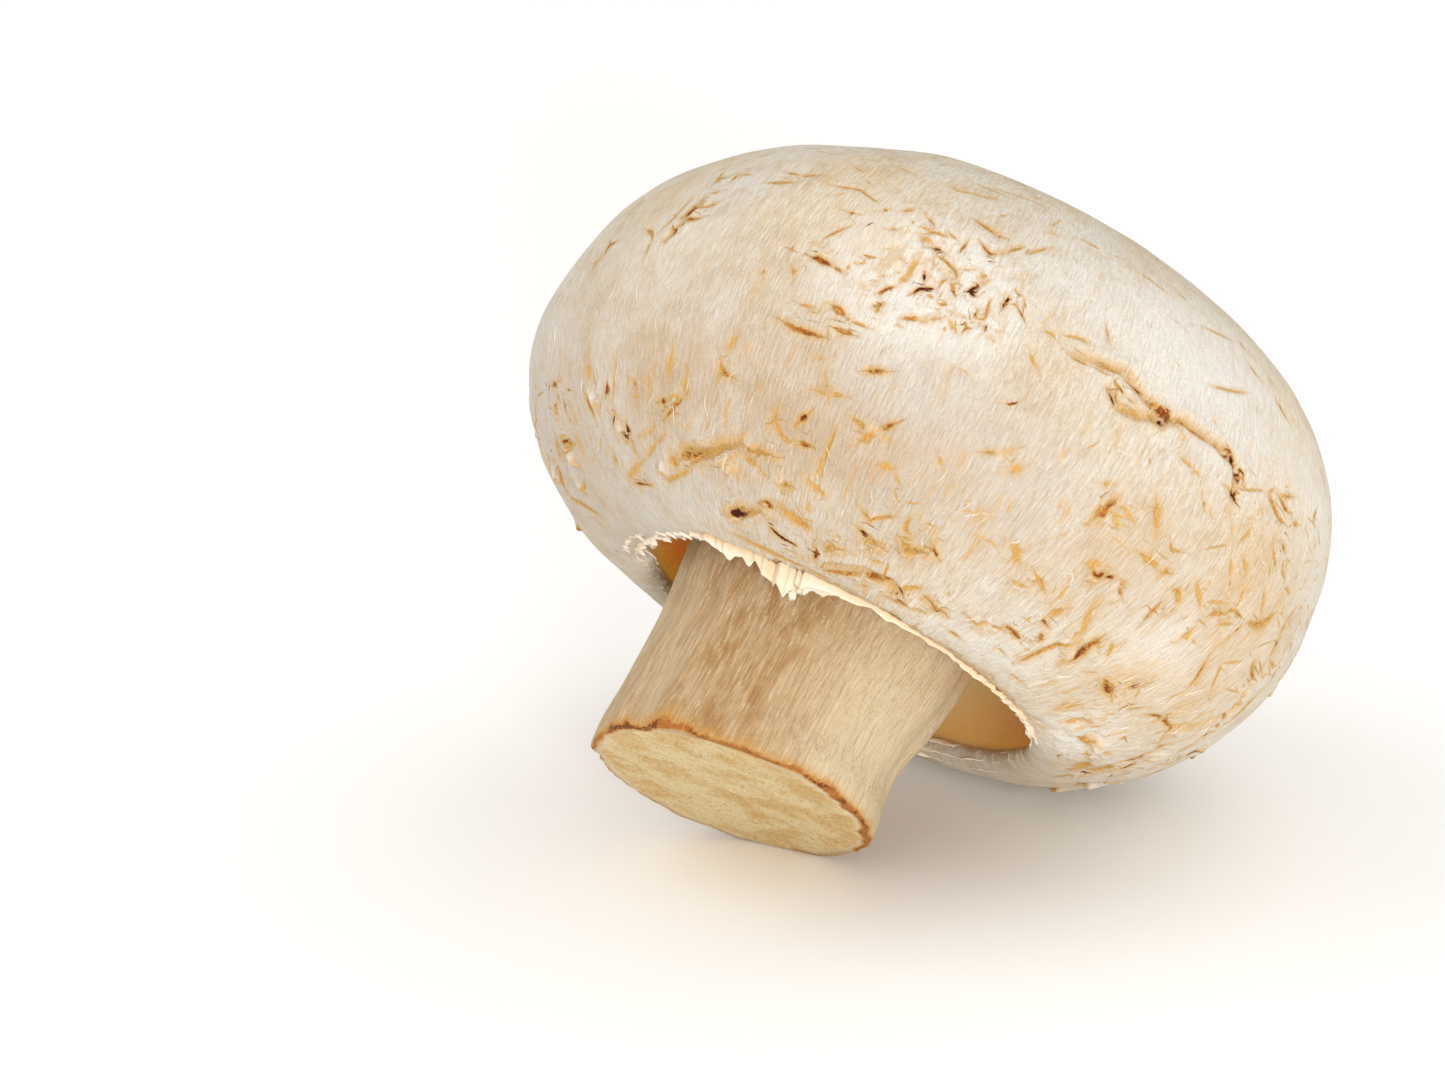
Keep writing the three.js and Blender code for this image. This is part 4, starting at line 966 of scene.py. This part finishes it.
def make_fibres(material, rng):
    """Closed slivers laid on the skin, most of them along its grain."""
    azimuths, runs, lifts, faces, count = [], [], [], [], 0
    k = len(FIBRE_SECTION)
    for middle, reach, number in FIBRE_PLACES:
        for _ in range(number):
            azimuth = middle[0] + reach[0] * rng.normal(0, 0.55)
            run = min(middle[1] + reach[1] * rng.normal(0, 0.55), FLANK_END - 1.5)
            length, angle = rng.uniform(*FIBRE_LENGTH), rng.normal(0, 0.4)
            turn = math.degrees(math.sin(angle) * length / CAP_RADIUS)
            bow = rng.normal(0, 0.2)
            bends = [(azimuth, run), (azimuth + turn / 2 + bow, run + math.cos(angle) * length / 2),
                     (azimuth + turn, min(run + math.cos(angle) * length, FLANK_END - 0.4))]
            azimuth, run, side, t = along_path(bends, rng)
            width = rng.uniform(*FIBRE_WIDTH) * (1 - 0.8 * np.abs(2 * t - 1) ** 2)
            radius, n = axis_distance(azimuth, run), len(run)
            for share, height in FIBRE_SECTION:
                azimuths.append(azimuth + side[:, 0] * width * share / radius)
                runs.append(run + side[:, 1] * width * share)
                lifts.append(np.full(n, FIBRE_LIFT * height))
            corner = count + np.arange(n)[:, None] + n * np.arange(k)
            for i in range(k):
                a, b = corner[:-1, i], corner[:-1, (i + 1) % k]
                c, d = corner[1:, (i + 1) % k], corner[1:, i]
                faces += [np.stack([a, d, c], 1), np.stack([a, c, b], 1)]
            for i in range(1, k - 1):
                faces += [corner[[0]][:, [0, i, i + 1]], corner[[-1]][:, [0, i + 1, i]]]
            count += n * k
    azimuth, run = np.concatenate(azimuths), np.concatenate(runs)
    raised, p, masks = skin_at(azimuth, run, surface_normals(azimuth, run), np.concatenate(lifts))
    attributes = {"tan_and_shade": masks["tan_and_shade"], "pale_and_highlight": np.full(len(p), FIBRE_PALE), "upright": p}
    return mesh_object("skin_fibres", raised, facing_out(raised, np.vstack(faces)), material, attributes)


# ---- the torn veil that hangs from the margin ----
FRINGE_STEP = 0.5  # degrees
FRINGE_ROWS = np.linspace(0, 1, 9)
# root as a run before the lip's end, thickness, reach, share of it that hangs along the axis, seed
FRINGE_LAYERS = [(2.0, 0.16, 0.8, 0.9, 301), (1.3, 0.16, 1.15, 0.7, 302), (0.7, 0.14, 1.35, 0.5, 303)]
FRINGE_SHORT, FRINGE_LEAST = 0.2, 0.05  # length where nothing makes it longer, and what is always added
FRINGE_ROOT = (0.3, 0.25)  # mm outwards and up from the lip
FRINGE_INWARD = 0.75  # share of the length that goes in towards the stem
FRINGE_TAPER, FRINGE_LEAST_HALF, FRINGE_CRUMPLE = 0.85, 0.012, 0.05
# where the fringe is longer: azimuth, reach round, extra length
FRINGE_LONG = [
    (70, 17, 0.95), (48, 5, 0.3), (155, 8, 0.3), (20, 12, 0.25), (4, 13, 0.55), (358, 2, 0.3),
    (12, 1.5, 0.35), (250, 50, 0.2), (52, 1.2, 0.3), (57.5, 1.1, 0.35), (62, 1.3, 0.55), (65.5, 0.8, 0.25),
    (70, 1.5, 0.7), (74, 1.0, 0.3), (79, 1.6, 0.25), (85, 1.2, 0.3), (90, 1.4, 0.25), (97, 1.2, 0.2),
    (263, 2, 0.5), (236, 1.5, 0.4),
]


def make_fringe(material):
    """Thin closed ribbons with a torn edge, all round the margin, longest over the top of the stem."""
    azimuth = np.radians(np.arange(0, 360, FRINGE_STEP))
    n, rows = len(azimuth), len(FRINGE_ROWS)
    ring = np.arange(n)
    after = (ring + 1) % n
    points, faces, pale_and_highlight, stain_and_shade = [], [], [], []
    out = circle(azimuth)
    long = FRINGE_SHORT
    for middle, width, extra in FRINGE_LONG:
        long = long + extra * bell(off_middle(np.degrees(azimuth), middle) / width)
    for layer, (root, thick, reach, drop, seed) in enumerate(FRINGE_LAYERS):
        coarse, teeth, fine = (noise(out * k, seed + more) for k, more in ((5, 0), (22, 10), (60, 20)))
        length = reach * long * np.clip(0.9 + 0.8 * coarse, 0.15, 1.8)
        length = length + 0.2 * long * teeth + 0.04 * fine + FRINGE_LEAST
        start = body_points(azimuth, np.full(n, LIP_END - root))
        for side in (1, -1):
            for t in FRINGE_ROWS:
                sag = -drop * length * t + 0.08 * t * coarse + 0.1 * t ** 2 * noise(out * 9 + t, seed + 30)
                half = 0.5 * thick * (1 - FRINGE_TAPER * smoothstep(t, 0.6, 1)) + FRINGE_LEAST_HALF
                crumple = noise(np.stack([azimuth * 40, azimuth * 0 + t * 4, azimuth * 0], 1), seed + 40)
                p = start - out * (FRINGE_INWARD * length * t - FRINGE_ROOT[0])[:, None]
                p[:, 2] += sag + FRINGE_ROOT[1] - side * half + FRINGE_CRUMPLE * crumple
                points.append(p)
                # paler towards the torn end; the tan tint made from it darkens the root as painted shade in
                # the crease under the lip
                pale_and_highlight.append(np.full(n, 0.1 + 0.5 * t ** 2))
                patchy = smoothstep(noise(out * 9 + 3 * t, seed + 50), -0.2, 0.5)
                stain_and_shade.append(patchy * 0.4 * (1 - 0.4 * t) + 0.02)
        base = layer * 2 * rows
        order = [n * (base + r) for r in (*range(rows), *range(2 * rows - 1, rows - 1, -1))]
        for low, high in zip(order, order[1:] + order[:1]):
            faces += [np.stack([low + ring, low + after, high + after], 1),
                      np.stack([low + ring, high + after, high + ring], 1)]
    p, pale_and_highlight = np.vstack(points), np.concatenate(pale_and_highlight)
    attributes = {"pale_and_highlight": pale_and_highlight, "tan_and_shade": 0.9 - 0.9 * pale_and_highlight, "stain_and_shade": np.clip(np.concatenate(stain_and_shade), 0, 1),
                  "upright": p}
    laid = lay(p)
    return mesh_object("veil_fringe", laid, facing_out(laid, np.vstack(faces)), material, attributes)


# ---- materials ----
def linear(r, g, b):
    """A screen colour, 0 to 255, as the renderer's linear colour."""
    shares = (r / 255, g / 255, b / 255)
    return tuple(c / 12.92 if c <= 0.04045 else ((c + 0.055) / 1.055) ** 2.4 for c in shares)


class Shader:
    """A short way to write a node tree: every call makes its nodes and gives back their output."""

    def __init__(self, name):
        self.material = bpy.data.materials.new(name)
        self.material.use_nodes = True
        self.tree = self.material.node_tree
        self.tree.nodes.clear()

    def node(self, kind, inputs, out=0, **settings):
        made = self.tree.nodes.new(kind)
        for key, value in settings.items():
            setattr(made, key, value)
        for key, value in inputs.items():
            if isinstance(value, bpy.types.NodeSocket):
                self.tree.links.new(value, made.inputs[key])
            else:
                made.inputs[key].default_value = value
        return made.outputs[out] if made.outputs else made

    def value(self, name):
        return self.node("ShaderNodeAttribute", {}, "Fac", attribute_name=name)

    def vector(self, name):
        return self.node("ShaderNodeAttribute", {}, "Vector", attribute_name=name)

    def place(self, name, scale=(1.0, 1.0, 1.0)):
        return self.node("ShaderNodeVectorMath", {0: self.vector(name), 1: scale}, operation="MULTIPLY")

    def parts(self, name):
        return self.node("ShaderNodeSeparateXYZ", {0: self.vector(name)}).node.outputs

    def noise(self, where, scale, detail=3.0, rough=0.55, distortion=0.0):
        inputs = {"Vector": where, "Scale": scale, "Detail": detail, "Roughness": rough,
                  "Distortion": distortion}
        return self.node("ShaderNodeTexNoise", inputs, "Fac")

    def ramp(self, value, low, high, bottom=0.0, top=1.0):
        inputs = {"Value": value, "From Min": low, "From Max": high, "To Min": bottom, "To Max": top}
        return self.node("ShaderNodeMapRange", inputs, interpolation_type="SMOOTHSTEP")

    def math(self, operation, a, b=0.0, clamp=False):
        return self.node("ShaderNodeMath", {0: a, 1: b}, operation=operation, use_clamp=clamp)

    def times(self, product, *factors, clamp=False):
        for left, factor in zip(range(len(factors), 0, -1), factors):
            product = self.math("MULTIPLY", product, factor, clamp and left == 1)
        return product

    def blend(self, share, a, b):
        """The number a where share is 0, b where it is 1."""
        return self.node("ShaderNodeMix", {0: share, 2: a, 3: b}, data_type="FLOAT")

    def mix(self, share, a, b):
        a, b = (v if isinstance(v, bpy.types.NodeSocket) else (*linear(*v), 1.0) for v in (a, b))
        return self.node("ShaderNodeMix", {0: share, 6: a, 7: b}, 2, data_type="RGBA")

    def coats(self, colour, *coats):
        """Colours laid over one another, each by its own share."""
        for share, coat in coats:
            colour = self.mix(share, colour, coat)
        return colour

    def surface(self, colour, roughness, specular, others=(), **settings):
        """The one surface of the material, which it gives back."""
        inputs = {"Base Color": colour, "Roughness": roughness, "Specular IOR Level": specular}
        made = self.node("ShaderNodeBsdfPrincipled", {**inputs, **dict(others)}, **settings)
        self.node("ShaderNodeOutputMaterial", {"Surface": made})
        return self.material


CREAM, WARM, TAN, PAINTED_PINK_SHADE = (236, 228, 214), (232, 215, 186), (199, 166, 120), (204, 193, 183)
GOLD, ORANGE, BROWN, DARK = (224, 176, 96), (198, 108, 30), (140, 60, 20), (74, 24, 14)
WHITE = (249, 246, 240)
STEM_PALE, STEM_TAN, STEM_DEEP, STEM_LIGHT = (232, 212, 176), (194, 150, 98), (180, 130, 76), (246, 230, 194)
CUT_PALE, CUT_TAN, CUT_DEEP = (250, 228, 178), (234, 194, 128), (196, 142, 76)
GROOVE_TAN, GROOVE_DEEP, GROOVE_PALE = (255, 216, 150), (255, 194, 110), (255, 234, 190)
RUST, RUST_GLOW, RUST_DARK = (184, 108, 42), (218, 166, 90), (104, 46, 16)
BUMP_DEPTH = 0.0006
# how far light spreads in the skin and in the thin walls of the groove
SPREAD_WEIGHT, SPREAD_SCALE, SPREAD_RADIUS = (0.3, 1.0), (0.0011, 0.008), (1.0, 0.7, 0.45)


def tear_colours(s, colour, upright, fine, blotch):
    """Colours each tear by its own coordinates: along it, across it and how near it is."""
    u, v, near = s.parts("tear")
    orange, dark, pocket = s.parts("tear_tone")
    v = s.math("ADD", v, s.times(s.math("SUBTRACT", s.noise(upright, 3.2, 4.0, 0.65), 0.5), 2.1))
    u = s.math("ADD", u, s.times(s.math("SUBTRACT", s.noise(upright, 1.7, 2.0), 0.5), 0.3))
    rest = s.math("SUBTRACT", 1.0, u, True)
    line = s.math("POWER", s.times(u, rest, 4.0, clamp=True), 0.55)
    wedge = s.times(s.ramp(u, -0.05, 0.14), s.math("POWER", rest, 0.8))
    room = s.math("SUBTRACT", s.blend(pocket, line, wedge), s.math("ABSOLUTE", v))
    inside = s.times(s.ramp(room, -0.4, 0.6), near)
    across = s.times(s.math("ADD", v, 1.0), 0.5, clamp=True)
    # in a pocket the colour is strongest on its upper side, painted shadow under the raised skin above it
    depth = s.blend(pocket, 1.0, s.ramp(across, 0.1, 0.95, 1.0, 0.3))
    amount = s.times(inside, s.math("POWER", orange, 0.8), depth,
                     s.ramp(fine, 0.35, 0.65, 0.75, 1.2), clamp=True)
    halo = s.times(s.math("POWER", near, 2.0), orange, s.ramp(room, -2.6, 0.2, 0.0, 0.75),
                   s.ramp(blotch, 0.35, 0.6, 0.4, 1.0))
    # a white line along a pocket's lower edge, a painted highlight on the raised skin's edge
    rim = s.times(s.ramp(room, -0.55, -0.15), s.ramp(room, 0.1, -0.1), near)
    rim = s.times(rim, s.times(pocket, s.ramp(v, 0.0, 0.4)), 0.55)
    tear = s.coats(s.mix(s.ramp(amount, 0.5, 0.95), GOLD, ORANGE),
                   (s.times(s.ramp(amount, 0.65, 0.95), s.ramp(blotch, 0.4, 0.6)), BROWN))
    # the dark core: along a line the tear's own dark colour, in a pocket painted shadow at its head and upper
    # side
    spot = s.blend(pocket, 1.0, s.times(s.ramp(u, -0.05, 0.12), s.ramp(u, 0.75, 0.25)))
    upper = s.blend(pocket, 1.0, s.ramp(across, 1.0, 0.4))
    shade = s.times(s.times(s.ramp(room, 0.0, 0.6), near), s.times(spot, upper), dark,
                    s.ramp(s.noise(upright, 2.4, 3.0), 0.36, 0.58, 0.3, 1.4))
    colour = s.coats(colour, (halo, GOLD), (rim, WHITE), (s.ramp(amount, 0.0, 0.5, 0.0, 0.95), tear),
                     (s.ramp(shade, 0.12, 0.4, 0.0, 0.85), BROWN), (s.ramp(shade, 0.35, 0.85), DARK))
    return colour, s.times(inside, s.times(orange, orange))


def flesh_material():
    s = Shader("mushroom_flesh")
    across = s.place("fibre", (1.0, 1.0, 0.24))
    upright = s.place("upright")
    broad = s.noise(upright, 0.11)
    blotch = s.noise(upright, 0.45)
    silk = s.noise(across, 5.0, 4.0, 0.65, 0.3)
    streak = s.noise(across, 1.2, 3.0, 0.6, 0.3)
    fine = s.noise(upright, 5.0, 4.0, 0.6)
    speck = s.noise(upright, 3.0, 2.0)
    tan_and_shade, pale_and_highlight, painted_pink_shade, stem = s.value("tan_and_shade"), s.value("pale_and_highlight"), s.value("painted_pink_shade"), s.value("stem")
    on_cut, in_groove, rust = s.value("cut"), s.value("groove"), s.value("rust")

    flecks = s.times(s.ramp(streak, 0.52, 0.68), s.ramp(s.noise(upright, 0.7), 0.42, 0.60),
                     s.value("fleck"))
    # the skin's own tones, then the tan tint (partly painted shade), the pink tint (painted shade), the pale
    # tint (partly painted highlight) and golden flecks
    skin = s.coats(s.mix(s.ramp(broad, 0.34, 0.68), CREAM, WARM),
                   (s.ramp(blotch, 0.46, 0.75, 0, 0.4), TAN),
                   (s.ramp(silk, 0.48, 0.70, 0, 0.4), TAN),
                   (s.ramp(silk, 0.5, 0.34, 0, 0.6), WHITE),
                   (s.ramp(speck, 0.6, 0.72, 0, 0.3), GOLD),
                   (s.times(tan_and_shade, s.ramp(blotch, 0.25, 0.7, 0.5, 1.0), 0.8), TAN),
                   (s.times(painted_pink_shade, 0.6), PAINTED_PINK_SHADE), (s.times(pale_and_highlight, 0.8), WHITE), (s.times(flecks, 0.6), GOLD))

    fibres = s.noise(s.place("upright", (1.0, 1.0, 0.08)), 5.5, 5.0, 0.7, 0.4)
    mottle = s.noise(s.place("upright", (1.0, 1.0, 0.45)), 0.9, 4.0, 0.65, 0.5)
    # the stalk: its own mottle and fibres, the tan tint partly as painted shade under the cap, the pale tint
    # as painted highlight in STEM_LIGHT
    stalk = s.coats(s.mix(s.times(tan_and_shade, s.ramp(mottle, 0.3, 0.62, 0.5, 1.0)), STEM_PALE, STEM_TAN),
                    (s.times(s.ramp(mottle, 0.5, 0.75, 0, 0.5), tan_and_shade), STEM_DEEP),
                    (s.times(pale_and_highlight, 0.4), STEM_LIGHT),
                    (s.ramp(fibres, 0.5, 0.7, 0, 0.5), STEM_DEEP),
                    (s.ramp(fibres, 0.48, 0.34, 0, 0.5), STEM_LIGHT))

    rows = s.noise(s.place("upright", (0.8, 1.3, 1.0)), 0.35, 4.0, 0.6)
    grit = s.noise(upright, 3.6, 5.0, 0.8)
    cut = s.coats(s.mix(s.ramp(rows, 0.4, 0.62), CUT_PALE, CUT_TAN),
                  (s.ramp(grit, 0.5, 0.66, 0, 0.7), CUT_DEEP), (s.ramp(grit, 0.48, 0.34, 0, 0.6), CUT_PALE))

    # the groove in golden tones, lighter where the pale tint lies, as painted highlight
    groove = s.mix(pale_and_highlight, s.mix(s.ramp(broad, 0.3, 0.7), GROOVE_TAN, GROOVE_DEEP), GROOVE_PALE)

    rust = s.times(rust, s.ramp(fine, 0.3, 0.6, 0.75, 1.15), clamp=True)
    # over the skin the stem, groove, cut and rust, then the golden stain, partly painted shade at the step,
    # under flake tips and in furrows
    colour = s.coats(skin, (stem, stalk), (in_groove, groove), (on_cut, cut),
                     (s.ramp(rust, 0.02, 0.6, 0.0, 0.9), RUST_GLOW),
                     (s.ramp(rust, 0.45, 1.0, 0.0, 0.85), RUST),
                     (s.times(s.ramp(rust, 0.85, 1.0, 0, 0.8), s.ramp(blotch, 0.46, 0.58)), RUST_DARK),
                     (s.times(s.value("stain_and_shade"), s.ramp(fine, 0.3, 0.6, 0.6, 1.0)), GOLD))
    colour, inside = tear_colours(s, colour, upright, fine, blotch)

    weave = s.blend(on_cut, s.blend(stem, silk, fibres), grit)
    height = s.math("SUBTRACT", s.math("ADD", s.times(weave, 0.7), s.times(fine, 0.3)), s.times(inside, 0.9))
    bump = s.node("ShaderNodeBump", {"Height": height, "Strength": 1.0, "Distance": BUMP_DEPTH})
    return s.surface(colour, 0.72, 0.22, {
        "Normal": bump, "Subsurface Weight": s.ramp(in_groove, 0, 1, *SPREAD_WEIGHT),
        "Subsurface Radius": SPREAD_RADIUS, "Subsurface Scale": s.ramp(in_groove, 0, 1, *SPREAD_SCALE),
    }, distribution="GGX")


def torn_material():
    """The veil and the fibres: too thin for light to spread inside them."""
    s = Shader("mushroom_torn")
    upright = s.place("upright")
    # the tan tint here is partly painted shade, at the fringe's root and from the cap's tints under the
    # fibres
    skin = s.coats(s.mix(s.ramp(s.noise(upright, 0.11, 2.0), 0.35, 0.65), CREAM, WARM),
                   (s.times(s.value("tan_and_shade"), 0.6), TAN), (s.value("pale_and_highlight"), WHITE))
    stain_and_shade = s.times(s.value("stain_and_shade"), s.ramp(s.noise(upright, 5.0, 4.0, 0.6), 0.3, 0.6, 0.5, 1.0))
    return s.surface(s.mix(stain_and_shade, skin, GOLD), 0.7, 0.25)


# ---- the mushroom ----
flesh = flesh_material()
torn = torn_material()
tear_rng = np.random.default_rng(TEAR_SEED)
body = make_body(flesh, make_tears(tear_rng))
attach(body, "root")
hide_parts("mushroom")
for piece in (make_fibres(torn, tear_rng), make_fringe(torn)):
    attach(piece, "root")

# ---- camera ----
RIGHT, UPWARD, BACK = (Vector(v) for v in (CAMERA_RIGHT, CAMERA_UP, CAMERA_BACK))
CLIP = (0.01, 10.0)  # m


def place_camera():
    cut = Vector(lay(np.zeros((1, 3)))[0])
    aim = Vector(lay(np.array([[0, 0, CAMERA_AIM_Z]]))[0])
    distance = CAMERA_DISTANCE - (cut - aim).dot(BACK)
    shrink = distance / CAMERA_DISTANCE
    sideways = (CUT_PIXEL[0] - IMAGE[0] / 2) * MM_PER_PX * shrink
    upward = (IMAGE[1] / 2 - CUT_PIXEL[1]) * MM_PER_PX * shrink
    location = cut - RIGHT * sideways - UPWARD * upward + BACK * distance
    data = bpy.data.cameras.new("camera")
    data.lens, data.sensor_width, data.sensor_fit = LENS, SENSOR, "HORIZONTAL"
    data.clip_start, data.clip_end = CLIP
    camera = link("camera", data)
    turn = Matrix((RIGHT, UPWARD, BACK)).transposed().to_4x4()
    camera.matrix_world = Matrix.Translation(location * MM) @ turn
    bpy.context.scene.camera = camera


place_camera()

# ---- floor and light ----
FLOOR_HALF = 3.0  # m
FLOOR_WHITE = (0.95, 0.95, 0.95, 1)
# name, way from the mushroom as shares of the camera's right, up and back, distance, size, watts, colour
LIGHTS = [
    ("key", (0.6, 1.0, 0.0), 0.7, 0.7, 0.8, (1.0, 0.985, 0.96)),
    ("low", (0.12, -0.15, 1.0), 0.6, 0.2, 2.15, (1.0, 0.97, 0.92)),
    ("fill", (-1.0, 0.9, 0.2), 0.8, 0.7, 1.45, (1.0, 0.98, 0.95)),
]
SKY_COLOUR, SKY_STRENGTH = (1.0, 0.985, 0.965, 1), 0.82


def make_floor():
    corners = [(x * FLOOR_HALF, y * FLOOR_HALF, 0) for x, y in ((-1, -1), (1, -1), (1, 1), (-1, 1))]
    mesh = bpy.data.meshes.new("floor")
    mesh.from_pydata(corners, [], [(0, 1, 2, 3)])
    mesh.materials.append(Shader("pale_floor").surface(FLOOR_WHITE, 0.9, 0.1))
    link("floor", mesh)


def area_light(name, shares, distance, size, power, colour):
    data = bpy.data.lights.new(name, "AREA")
    data.shape, data.size, data.energy, data.color = "DISK", size, power, colour
    way = (RIGHT * shares[0] + UPWARD * shares[1] + BACK * shares[2]).normalized()
    turn = way.to_track_quat("Z", "Y").to_matrix().to_4x4()
    link(name, data).matrix_world = Matrix.Translation(way * distance) @ turn


make_floor()
for settings in LIGHTS:
    area_light(*settings)
world = bpy.data.worlds.new("studio")
world.use_nodes = True
background = world.node_tree.nodes["Background"].inputs
background["Color"].default_value, background["Strength"].default_value = SKY_COLOUR, SKY_STRENGTH
bpy.context.scene.world = world
bpy.context.scene.view_settings.view_transform = "Standard"
